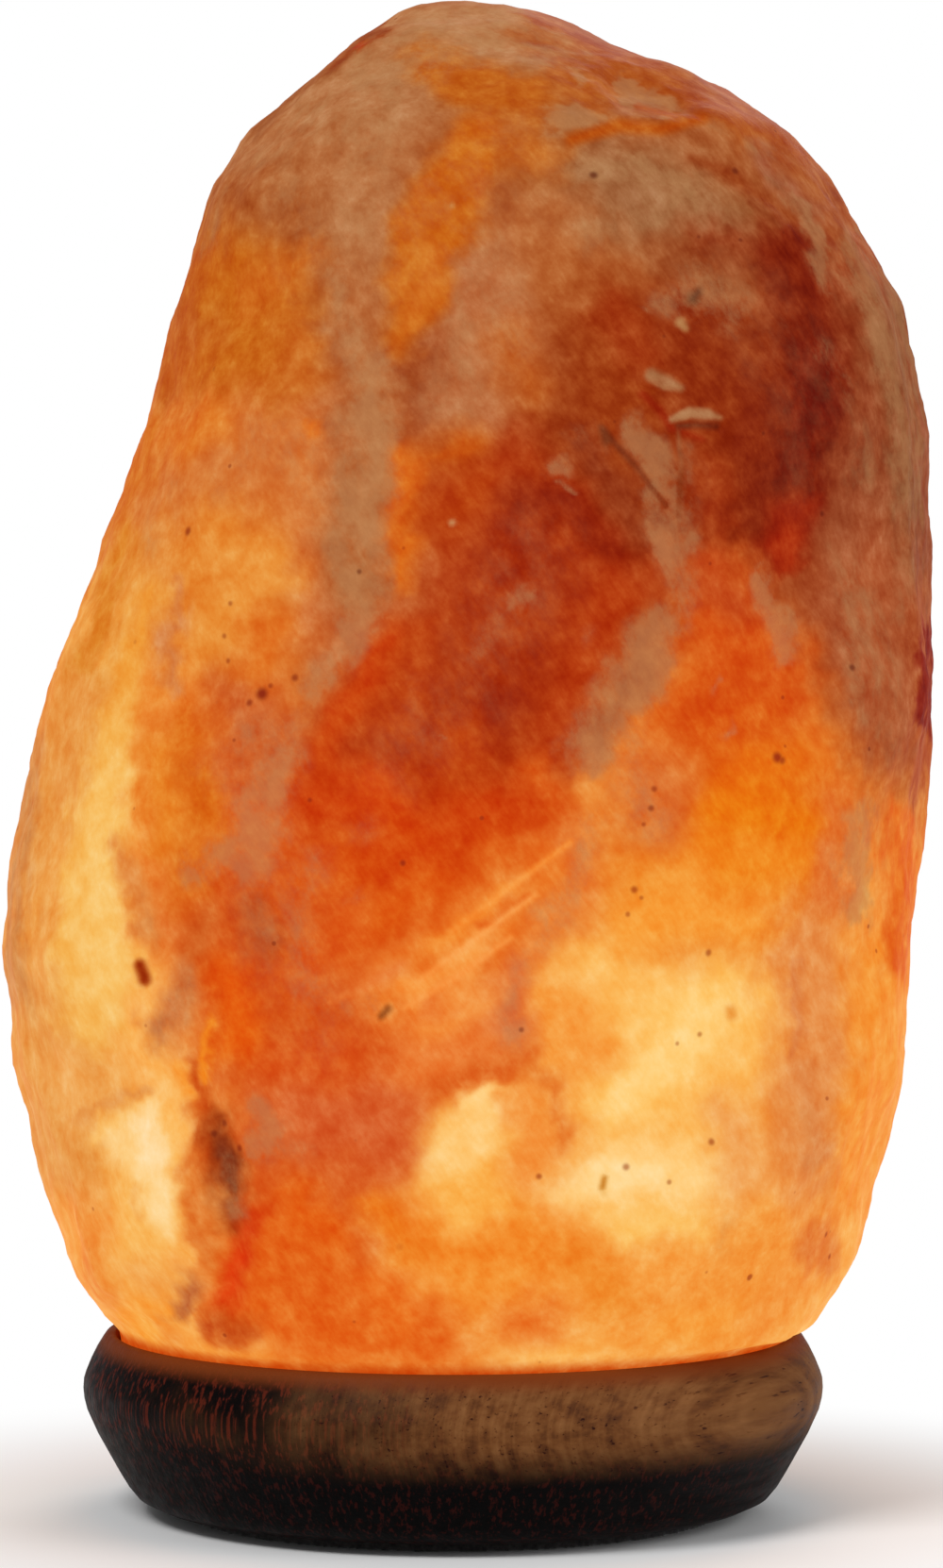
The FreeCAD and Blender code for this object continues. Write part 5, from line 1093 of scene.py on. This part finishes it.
def small_material(slot):
    """The material of a slot, in which two tones, roughness and relief wander together."""
    if slot in made_materials:
        return made_materials[slot]
    dark, pale, size, rough, relief, stretch = RECIPES[slot]
    shader = Shader(slot)
    grain = shader.grain(size * 3, 4.0, 0.6, stretch=stretch)
    fine = shader.grain(size, 3.0, 0.6, stretch=stretch, shift=4.0)
    share = shader.step(shader.fit(fine, 0.5, shader.times(grain, 0.5)), 0.34, 0.66)
    colour = shader.mix(share, linear(dark), linear(pale))
    shader.set(Base_Color=colour, Roughness=shader.step(grain, 0.3, 0.7, *rough),
               Normal=shader.bump(fine, 0.6, relief), **EXTRAS.get(slot, {}))
    if slot == "tungsten":
        shader.set(Emission_Color=colour, Emission_Strength=FILAMENT_STRENGTH)
    made_materials[slot] = shader.material
    return shader.material


def finish_small(piece, slot, body, node):
    finish_piece(piece, small_material(slot), body, slot, node)


# ---------------------------------------------------------------- ways of making small pieces

def turned(name, profile, slot, body, node, **shape):
    """A turned piece, finished."""
    finish_small(lathe(name, profile, **shape), slot, body, node)


def rounded(profile, size):
    """A closed profile with each corner off the axis rounded by about size."""
    result = []
    for number, point in enumerate(profile):
        corner = Vector(point)
        if corner.x < ON_AXIS:
            result.append(tuple(corner))
            continue
        sides = [Vector(profile[number - 1]) - corner, Vector(profile[(number + 1) % len(profile)]) - corner]
        start, end = [corner + side.normalized() * min(size, side.length * 0.4) for side in sides]
        result += [tuple(start), tuple(start * 0.25 + corner * 0.5 + end * 0.25), tuple(end)]
    return result


def ladder(radius, low, high, rungs):
    """Points up a straight side, close enough together for a ripple."""
    return [(radius, low + (high - low) * rung / rungs) for rung in range(rungs + 1)]


def thread(pitch, depth, low, high, inner_limit=0.0):
    """A ripple that winds a right-handed thread between two heights, on what lies outside a radius."""
    def ripple(radius, angle, height):
        if radius < inner_limit:
            return radius
        share = ease(height, low, low + pitch / 2) * (1 - ease(height, high - pitch / 2, high))
        turn = height / pitch - angle / (2 * math.pi)
        return radius - depth * share * (0.5 - 0.5 * math.cos(2 * math.pi * turn))
    return ripple


def soften(node, width, slot, body):
    """Show a CAD node itself, with its edges broken by a bevel."""
    piece = cad_copy(node, f"{node}_detail")
    with editing(piece.data) as builder:
        bmesh.ops.remove_doubles(builder, verts=builder.verts, dist=0.002 * MM)
        bmesh.ops.dissolve_limit(builder, angle_limit=math.radians(2), verts=builder.verts, edges=builder.edges)
    bevel = piece.modifiers.new("edges", "BEVEL")
    bevel.width = width * MM
    bevel.segments = 2
    bevel.limit_method = "ANGLE"
    bevel.angle_limit = math.radians(40)
    apply_modifiers(piece)
    smooth(piece.data, 40)
    finish_small(piece, slot, body, node)


def joined(name, pieces):
    """Several pieces as one mesh."""
    mesh = bpy.data.meshes.new(name)
    with editing(mesh) as builder:
        for piece in pieces:
            builder.from_mesh(piece.data)
            bpy.data.objects.remove(piece)
    smooth(mesh)
    return new_piece(name, mesh)


def wire(name, route, radius, sides=3):
    """A round wire along a route of points."""
    curve = bpy.data.curves.new(name, "CURVE")
    curve.dimensions = "3D"
    curve.bevel_depth = radius * MM
    curve.bevel_resolution = sides
    curve.resolution_u = 3
    curve.use_fill_caps = True
    spline = curve.splines.new("NURBS")
    spline.points.add(len(route) - 1)
    for point, place in zip(spline.points, route):
        point.co = (*[value * MM for value in place], 1.0)
    spline.order_u = 3
    spline.use_endpoint_u = True
    source = new_piece(f"{name}_line", curve)
    mesh = shown_mesh(source)
    bpy.data.objects.remove(source)
    smooth(mesh, 60)
    return new_piece(name, mesh)


def slotted(piece, centre, reach, half_width, low, depth):
    """Cut a slot for a screwdriver into a head that faces down."""
    return cut(piece, [block("slot_cutter", (centre[0] - reach - 1, centre[1] - half_width, low - 1),
                             (centre[0] + reach + 1, centre[1] + half_width, low + depth))])


# ---------------------------------------------------------------- under the base

FELT_VOXEL = 0.6
FELT_LUMPS = ((0.09, 1.6, 41, 2), (0.06, 5.0, 42, 2))
FELT_SUNK = 0.10
SCREW_HEAD_RADIUS, SCREW_SHANK_RADIUS = 4.0, 1.75
SCREW_PITCH, SCREW_THREAD_DEPTH = 1.8, 0.5
SCREW_SLOT_HALF_WIDTH, SCREW_SLOT_DEPTH = 0.5, 1.0
PLUG_BORE, PLUG_RADIUS = 1.8, 4.0
PLUG_RIB_PITCH, PLUG_BARB, PLUG_KEEL = 2.4, 0.55, 0.25


def make_felt():
    piece = remeshed_copy("felt_ring", "felt_pad", FELT_VOXEL)
    push_out(piece.data, lumpy(read_points(piece.data), FELT_LUMPS) - FELT_SUNK, "felt_ring")
    piece.data.shade_smooth()
    finish_small(piece, "felt", "lamp_body", "felt_ring")


def wood_screw(centre):
    low, high = corners("base_screws")
    head_top, head, shank = COUNTERBORE_TOP, SCREW_HEAD_RADIUS, SCREW_SHANK_RADIUS
    profile = [(0, low.z), (2.2, low.z + 0.05), (3.3, low.z + 0.45), (3.85, low.z + 1.1), (head, low.z + 1.8),
               (head, head_top - 0.15), (head - 0.15, head_top), (shank, head_top),
               *ladder(shank, head_top + 4, high.z - 4, 110),
               (shank * 0.6, high.z - 1.6), (0.25, high.z - 0.1), (0, high.z)]
    winding = thread(SCREW_PITCH, SCREW_THREAD_DEPTH, head_top + 5, high.z - 1, inner_limit=0.3)
    piece = lathe("wood_screw", profile, steps=32, closed=False, ripple=winding, centre=centre)
    return slotted(piece, centre, head, SCREW_SLOT_HALF_WIDTH, low.z, SCREW_SLOT_DEPTH)


def wall_plug(centre):
    low, high = corners("wall_plugs")
    profile = [(PLUG_BORE, low.z), (PLUG_RADIUS, low.z), *ladder(PLUG_RADIUS, low.z + 0.6, high.z - 3, 60),
               (PLUG_RADIUS - 0.9, high.z - 0.4), (PLUG_RADIUS - 1.3, high.z), (PLUG_BORE, high.z)]

    def ripple(reach, angle, height):
        barb = ((height - low.z) / PLUG_RIB_PITCH) % 1.0
        keel = PLUG_KEEL if math.cos(4 * angle) > 0.86 else 0.0
        grooved = PLUG_RADIUS - 0.2 < reach and low.z + 2 < height < high.z - 4
        return reach - (PLUG_BARB - keel) * barb if grooved else reach

    return lathe("wall_plug", profile, steps=48, ripple=ripple, centre=centre)


def make_fixings():
    for name, make, slot, node in (("wood_screws", wood_screw, "zinc_steel", "base_screws"),
                                   ("ribbed_plugs", wall_plug, "grey_nylon", "wall_plugs")):
        finish_small(joined(name, [make(centre) for centre in screw_places()]), slot, "lamp_body", node)


# ---------------------------------------------------------------- lampholder

TUBE_BORE, TUBE_PITCH, TUBE_THREAD_DEPTH = 4.0, 1.0, 0.45
BUSH_BORE, BUSH_BARREL, BUSH_FLANGE = 3.1, 3.95, 1.0
# The holes in the plates, the nut and the cap clear the tube.
HOLE_RADIUS = 5.1
CAP_BORE = 12.2
CAP_LEDGE_RADIUS = 11.0
CAP_BOSS_RADIUS, CAP_BOSS_TOP = 8.0, 4.6
CAP_FLOOR = 2.0
GRIP_RIBS, GRIP_DEPTH = 36, 0.4
SLEEVE_BORE = 7.65
SLEEVE_STEP = 0.7
COLLAR_HEIGHT = 3.0
SHELL_FLANGE_BORE = 4.6
SHELL_WALL = 0.5
SHELL_THREAD_DEPTH = 0.55
BULB_PITCH = 2.822
TERMINAL_MIDDLE = 6.6
TERMINAL_HEAD_RADIUS, TERMINAL_SHANK_RADIUS = 2.2, 1.2
TERMINAL_PITCH, TERMINAL_THREAD_DEPTH = 0.7, 0.25
TERMINAL_SLOT_HALF_WIDTH, TERMINAL_SLOT_DEPTH = 0.3, 0.8


def make_tube():
    low, high = corners("nipple")
    profile = [(TUBE_BORE, low.z), (high.x - 0.3, low.z), *ladder(high.x, low.z + 0.3, high.z - 0.3, 60),
               (high.x - 0.3, high.z), (TUBE_BORE, high.z)]
    winding = thread(TUBE_PITCH, TUBE_THREAD_DEPTH, low.z, high.z, TUBE_BORE + 0.2)
    turned("threaded_tube", profile, "zinc_steel", "holder", "nipple", steps=64, ripple=winding)

    low, high = corners("inlet_bush")
    flange_top = low.z + BUSH_FLANGE
    profile = [(BUSH_BORE, low.z + 0.4), (BUSH_BORE + 0.7, low.z), (high.x - 0.3, low.z), (high.x, low.z + 0.3),
               (high.x, flange_top), (BUSH_BARREL, flange_top), (BUSH_BARREL, high.z - 0.5),
               (BUSH_BARREL - 0.4, high.z), (BUSH_BORE, high.z)]
    turned("cord_bush", profile, "black_plastic", "holder", "inlet_bush", steps=64)

    low, high = corners("nipple_nut")
    across_flats, corner_reach = high.y, high.x

    def hexagon(radius, angle, height):
        if radius < HOLE_RADIUS + 0.5:
            return radius
        from_flat = (angle + math.pi / 6) % (math.pi / 3) - math.pi / 6
        return min(radius, across_flats / math.cos(math.pi / 6 - abs(from_flat)))

    profile = [(HOLE_RADIUS, low.z + 0.4), (HOLE_RADIUS + 0.4, low.z), (across_flats - 0.1, low.z),
               (corner_reach, low.z + 0.55), (corner_reach, high.z - 0.55), (across_flats - 0.1, high.z),
               (HOLE_RADIUS + 0.4, high.z), (HOLE_RADIUS, high.z - 0.4)]
    turned("hexagon_nut", profile, "zinc_steel", "holder", "nipple_nut", ripple=hexagon)


def make_plates():
    for node, slot, edge in (("washer", "zinc_steel", 0.15), ("cover_plate", "painted_plate", 0.35)):
        low, high = corners(node)
        profile = rounded([(HOLE_RADIUS, low.z), (high.x, low.z), (high.x, high.z), (HOLE_RADIUS, high.z)], edge)
        turned(f"{node}_turned", profile, slot, "holder", node, steps=128)
    for node, body in (("clip_bracket", "holder"), ("clip_right", "clip_right"), ("clip_left", "clip_left")):
        soften(node, 0.12, "spring_steel", body)


def make_lampholder():
    block_low, block_high = corners("contact_block")
    low, high = corners("holder_cap")
    outer, bottom, top = high.x, low.z, high.z
    profile = [(HOLE_RADIUS, bottom), (outer - 1.4, bottom), (outer - 0.35, bottom + 0.55),
               *ladder(outer, bottom + 1.6, top - 0.3, 30), (outer - 0.3, top), (CAP_BORE, top),
               (CAP_BORE, block_low.z), (CAP_LEDGE_RADIUS, block_low.z), (CAP_LEDGE_RADIUS, bottom + CAP_FLOOR),
               (CAP_BOSS_RADIUS, bottom + CAP_FLOOR), (CAP_BOSS_RADIUS, bottom + CAP_BOSS_TOP),
               (HOLE_RADIUS, bottom + CAP_BOSS_TOP)]

    def ribs(radius, angle, height):
        share = ease(height, bottom + 2.6, bottom + 3.6) * (1 - ease(height, top - 3.6, top - 2.6))
        groove = 0.5 + 0.5 * math.cos(GRIP_RIBS * angle)
        return radius - GRIP_DEPTH * share * groove ** 3 if radius > outer - 0.2 else radius

    turned("ribbed_cap", profile, "black_plastic", "holder", "holder_cap", steps=GRIP_RIBS * 8, ripple=ribs)

    low, high = corners("holder_body")
    outer, bottom, top = high.x, low.z, high.z
    sleeve = outer - SLEEVE_STEP
    profile = rounded([(CAP_BORE, bottom), (outer, bottom), (outer, bottom + COLLAR_HEIGHT - SLEEVE_STEP),
                       (sleeve, bottom + COLLAR_HEIGHT), (sleeve, top - 4.2), (sleeve - 0.3, top - 3.9),
                       (sleeve - 0.3, top - 3.3), (sleeve, top - 3.0), (sleeve, top - 1), (sleeve - 1, top),
                       (SLEEVE_BORE + 1, top), (SLEEVE_BORE, top - 1), (SLEEVE_BORE, block_high.z),
                       (CAP_BORE, block_high.z)], 0.25)
    turned("sleeve", profile, "black_plastic", "holder", "holder_body", steps=128)

    for node, width, slot in (("contact_block", 0.3, "white_ceramic"), ("terminal_blocks", 0.2, "brass"),
                              ("centre_contact", 0.08, "brass")):
        soften(node, width, slot, "holder")

    low, high = corners("screw_shell")
    outer, bottom, top = high.x, low.z, high.z
    winding = thread(BULB_PITCH, SHELL_THREAD_DEPTH, bottom + 1.5, top - 0.5, inner_limit=SHELL_FLANGE_BORE + 1)
    profile = [(SHELL_FLANGE_BORE, bottom), (outer - 0.4, bottom), *ladder(outer, bottom + 0.4, top, 70),
               *reversed(ladder(outer - SHELL_WALL, bottom + SHELL_WALL, top, 70)),
               (SHELL_FLANGE_BORE, bottom + SHELL_WALL)]
    turned("threaded_shell", profile, "brass", "holder", "screw_shell", ripple=winding)


def terminal_screw(centre):
    low, high = corners("terminal_screws")
    head_top, head, shank = corners("terminal_blocks")[0].z, TERMINAL_HEAD_RADIUS, TERMINAL_SHANK_RADIUS
    profile = [(0, low.z), (1.2, low.z + 0.05), (1.9, low.z + 0.35), (head, low.z + 0.8), (head, head_top),
               (shank, head_top), *ladder(shank, head_top + 0.2, high.z - 0.2, 36), (0, high.z)]
    winding = thread(TERMINAL_PITCH, TERMINAL_THREAD_DEPTH, head_top, high.z)
    piece = lathe("terminal_screw", profile, steps=40, closed=False, ripple=winding, centre=centre)
    return slotted(piece, centre, head, TERMINAL_SLOT_HALF_WIDTH, low.z, TERMINAL_SLOT_DEPTH)


def make_terminal_screws():
    screws = [terminal_screw((side * TERMINAL_MIDDLE, 0.0)) for side in (-1, 1)]
    finish_small(joined("slotted_screws", screws), "zinc_steel", "holder", "terminal_screws")


# ---------------------------------------------------------------- bulb

TIP_RIM = 0.35
TIP_LUMPS = ((0.10, 1.3, 51, 2),)
TIP_SUNK = 0.10
CAP_WALL = 0.3
CAP_SIDE_RADIUS, CAP_LIP_RADIUS = 6.9, 4.7
CAP_THREAD_DEPTH = 0.62
NECK_RADIUS = 5.9
GLASS = 0.7
BULB_RADIUS = 14.0
SWELL_BOTTOM = 54.95
STEM_RADIUS = 2.2
COIL_TURNS, COIL_STEPS, COIL_RADIUS = 30, 12, 0.3
COIL_HALF_LENGTH, COIL_RISE = 5.5, 2.8
LEAD_RADIUS, FILAMENT_RADIUS, SUPPORT_RADIUS = 0.3, 0.09, 0.14
LEAD_FEET = 1.4
HOOK_RADIUS, HOOK_STEPS = 0.5, 12
# How deep the wires reach into the stem.
WIRE_ROOT = 4


def arc(steps):
    """The angles of a quarter turn in equal steps, without its start."""
    return [math.pi / 2 * step / steps for step in range(1, steps + 1)]


def make_bulb_base():
    low, high = corners("bulb_tip")
    rim = high.z - TIP_RIM
    profile = [(0, low.z), *[(high.x * math.sin(a), rim - (rim - low.z) * math.cos(a)) for a in arc(8)],
               (high.x, high.z), (0, high.z)]
    piece = lathe("solder_tip", profile, steps=48, closed=False)
    points = read_points(piece.data)
    lift = (lumpy(points, TIP_LUMPS) - TIP_SUNK) * ease(high.z - points[:, 2], 0.0, 0.3)
    push_out(piece.data, lift, "bulb_tip")
    finish_small(piece, "solder", "bulb_rise", "bulb_tip")

    low, high = corners("bulb_insulator")
    shoulder = corners("bulb_cap")[0].z
    profile = rounded([(0, low.z), (2.4, low.z), (high.x, shoulder), (high.x, high.z), (0, high.z)], 0.5)
    turned("glass_bead", profile, "black_glass", "bulb", "bulb_insulator", closed=False)

    low, high = corners("bulb_cap")
    side, collar, lip = CAP_SIDE_RADIUS, high.x, CAP_LIP_RADIUS
    cone_top, collar_bottom, collar_shoulder = low.z + 2.15, high.z - 2.8, high.z - 1.8
    winding = thread(BULB_PITCH, CAP_THREAD_DEPTH, low.z + 1.6, collar_bottom, inner_limit=5.6)
    profile = [(lip, low.z), (lip + CAP_WALL, low.z), (side - 0.5, cone_top - 0.5),
               *ladder(side, cone_top, collar_bottom, 60), (side + 0.25, collar_bottom + 0.15),
               (collar - 0.2, collar_shoulder - 0.1), (collar, collar_shoulder + 0.2), (collar, high.z - 0.1),
               (collar - 0.12, high.z), (collar - CAP_WALL, high.z), (collar - CAP_WALL, collar_shoulder + 0.3),
               (side, collar_bottom + CAP_WALL + 0.1),
               *reversed(ladder(side - CAP_WALL, cone_top + 0.1, collar_bottom + 0.1, 60)),
               (lip, low.z + CAP_WALL)]
    turned("threaded_cap", profile, "cap_metal", "bulb", "bulb_cap", ripple=winding)


def glass_side(inset):
    """The bulb's outline from the neck to the top of its dome, moved inward by inset."""
    low, high = corners("bulb_envelope")
    dome = high.z - BULB_RADIUS
    side = [(NECK_RADIUS - inset, low.z), (NECK_RADIUS - inset, SWELL_BOTTOM - 1.5)]
    for share in [step / 24 for step in range(1, 25)]:
        swell = (BULB_RADIUS - NECK_RADIUS) * float(ease(share, 0, 1))
        side.append((NECK_RADIUS + swell - inset, SWELL_BOTTOM + (dome - SWELL_BOTTOM) * share))
    reach = BULB_RADIUS - inset
    return side + [(reach * math.cos(a), dome + reach * math.sin(a)) for a in arc(16)]


def make_bulb_glass():
    turned("glass_bulb", glass_side(0.0) + glass_side(GLASS)[::-1], "clear_glass", "bulb", "bulb_envelope")

    low, high = corners("bulb_stem")
    profile = [(0, low.z), (4.9, low.z), (4.8, low.z + 0.4), (3.6, low.z + 1.6), (2.7, low.z + 3.2),
               *ladder(STEM_RADIUS, low.z + 5, high.z - 0.5, 14), (1.6, high.z), (0, high.z)]

    def pinch(radius, angle, height):
        share = float(ease(height, low.z + 7.5, low.z + 10.5))
        return radius * (1 - 0.5 * share * math.sin(angle) ** 2)

    turned("glass_stem", profile, "clear_glass", "bulb", "bulb_stem", steps=64, closed=False, ripple=pinch)


def make_filament():
    low, high = corners("lead_wires")
    bottom, top, ends = low.z, high.z, COIL_HALF_LENGTH
    leads = []
    for side in (-1, 1):
        foot = side * LEAD_FEET
        route = [(foot, 0, bottom - WIRE_ROOT), (foot, 0, bottom), (foot, 0, bottom + 2.5),
                 (side * ends, 0, top - 2.0), (side * ends, 0, top - 0.5), (side * (ends + 0.1), 0, top + 0.2)]
        leads.append(wire(f"lead_{side}", route, LEAD_RADIUS))
    finish_small(joined("leads", leads), "nickel_wire", "bulb", "lead_wires")

    coil = []
    for step in range(COIL_TURNS * COIL_STEPS + 1):
        share = 2 * step / (COIL_TURNS * COIL_STEPS) - 1
        angle = 2 * math.pi * step / COIL_STEPS
        coil.append((ends * share, COIL_RADIUS * math.cos(angle),
                     top + COIL_RISE * (1 - share ** 2) + COIL_RADIUS * math.sin(angle)))
    finish_small(wire("coil", coil, FILAMENT_RADIUS, sides=1), "tungsten", "bulb", "filament")

    hook = top + COIL_RISE
    ring = [(0.05, HOOK_RADIUS * math.sin(a), hook - HOOK_RADIUS * math.cos(a))
            for a in [2 * math.pi * step / HOOK_STEPS for step in range(HOOK_STEPS)]]
    post = [(0, 0, bottom - WIRE_ROOT), (0, 0, bottom), (0, 0, hook - 1.2)]
    finish_small(wire("support", post + ring, SUPPORT_RADIUS), "nickel_wire", "bulb", "support_wire")


# ---------------------------------------------------------------- stage, light and camera

SENSOR_HEIGHT = 36.0
PHOTO_HEIGHT = 1662
MM_PER_PIXEL = 0.159
CAMERA_RISE = 2.5
CAMERA_TARGET = (3.1, 0.0, 122.8)
FLOOR_REACH = 6.0
# How far from the lamp, in metres, the floor turns from lit grey to the white of the background.
FLOOR_FADE = (0.06, 0.15)
ROOM_LIGHT = 0.35
# Each lamp: its place in metres, its size in metres and its power in watts. All of them face the lamp's middle.
LAMPS = {
    "key": ((-0.45, -0.75, 0.95), 0.5, 8.0),
    "fill": ((0.9, -0.5, 0.5), 0.7, 4.0),
    "back": ((0.3, 0.9, 0.8), 0.6, 3.0),
}
LAMP_AIM = Vector((0, 0, 0.12))


def make_camera():
    data = bpy.data.cameras.new("camera")
    data.sensor_fit = "VERTICAL"
    data.sensor_height = SENSOR_HEIGHT
    data.lens = SENSOR_HEIGHT * VIEW_DISTANCE / (PHOTO_HEIGHT * MM_PER_PIXEL)
    camera = new_piece("camera", data)
    rise = math.radians(CAMERA_RISE)
    back = Vector((0, -math.cos(rise), math.sin(rise)))
    camera.location = Vector(CAMERA_TARGET) * MM + back * VIEW_DISTANCE * MM
    camera.rotation_euler = (math.pi / 2 - rise, 0, 0)
    bpy.context.scene.camera = camera


def make_lights():
    for name, (place, size, power) in LAMPS.items():
        data = bpy.data.lights.new(name, "AREA")
        data.shape = "DISK"
        data.size = size
        data.energy = power
        lamp = new_piece(name, data)
        lamp.location = place
        lamp.rotation_euler = (Vector(place) - LAMP_AIM).to_track_quat("Z", "Y").to_euler()


def make_floor():
    mesh = bpy.data.meshes.new("floor")
    ends = [(x * FLOOR_REACH, y * FLOOR_REACH, 0) for x, y in ((-1, -1), (1, -1), (1, 1), (-1, 1))]
    mesh.from_pydata(ends, [], [(0, 1, 2, 3)])
    floor = new_piece("floor", mesh)
    shader = Shader("pale_floor")
    away = shader.node("ShaderNodeVectorMath", {0: shader.place}, operation="LENGTH").outputs["Value"]
    path = shader.node("ShaderNodeLightPath").outputs
    seen = shader.greater(path["Is Camera Ray"], path["Is Glossy Ray"])
    seen = shader.greater(seen, path["Is Transmission Ray"])
    share = shader.times(shader.step(away, *FLOOR_FADE), seen)
    white = shader.node("ShaderNodeEmission", {"Color": WHITE, "Strength": 1.0}).outputs[0]
    shader.set(Base_Color=(0.90, 0.90, 0.90, 1), Roughness=0.9, Specular_IOR_Level=0.0)
    both = shader.node("ShaderNodeMixShader", {0: share, 1: shader.surface.outputs[0], 2: white})
    shader.fill(shader.tree.nodes["Material Output"], {"Surface": both.outputs[0]})
    mesh.materials.append(shader.material)


def make_world():
    world = bpy.data.worlds.new("studio")
    world.use_nodes = True
    tree = world.node_tree
    surround, white = tree.nodes["Background"], tree.nodes.new("ShaderNodeBackground")
    path, mix = tree.nodes.new("ShaderNodeLightPath"), tree.nodes.new("ShaderNodeMixShader")
    for background, strength in ((surround, ROOM_LIGHT), (white, 1.0)):
        background.inputs["Color"].default_value = WHITE
        background.inputs["Strength"].default_value = strength
    for source, target in ((path.outputs["Is Camera Ray"], mix.inputs[0]), (surround.outputs[0], mix.inputs[1]),
                           (white.outputs[0], mix.inputs[2]),
                           (mix.outputs[0], tree.nodes["World Output"].inputs["Surface"])):
        tree.links.new(source, target)
    bpy.context.scene.world = world


for make in (make_crystal, make_base, make_felt, make_fixings, make_tube, make_plates, make_lampholder,
             make_terminal_screws, make_bulb_base, make_bulb_glass, make_filament,
             make_floor, make_world, make_lights, make_camera):
    make()
bpy.context.scene.view_settings.view_transform = "Standard"
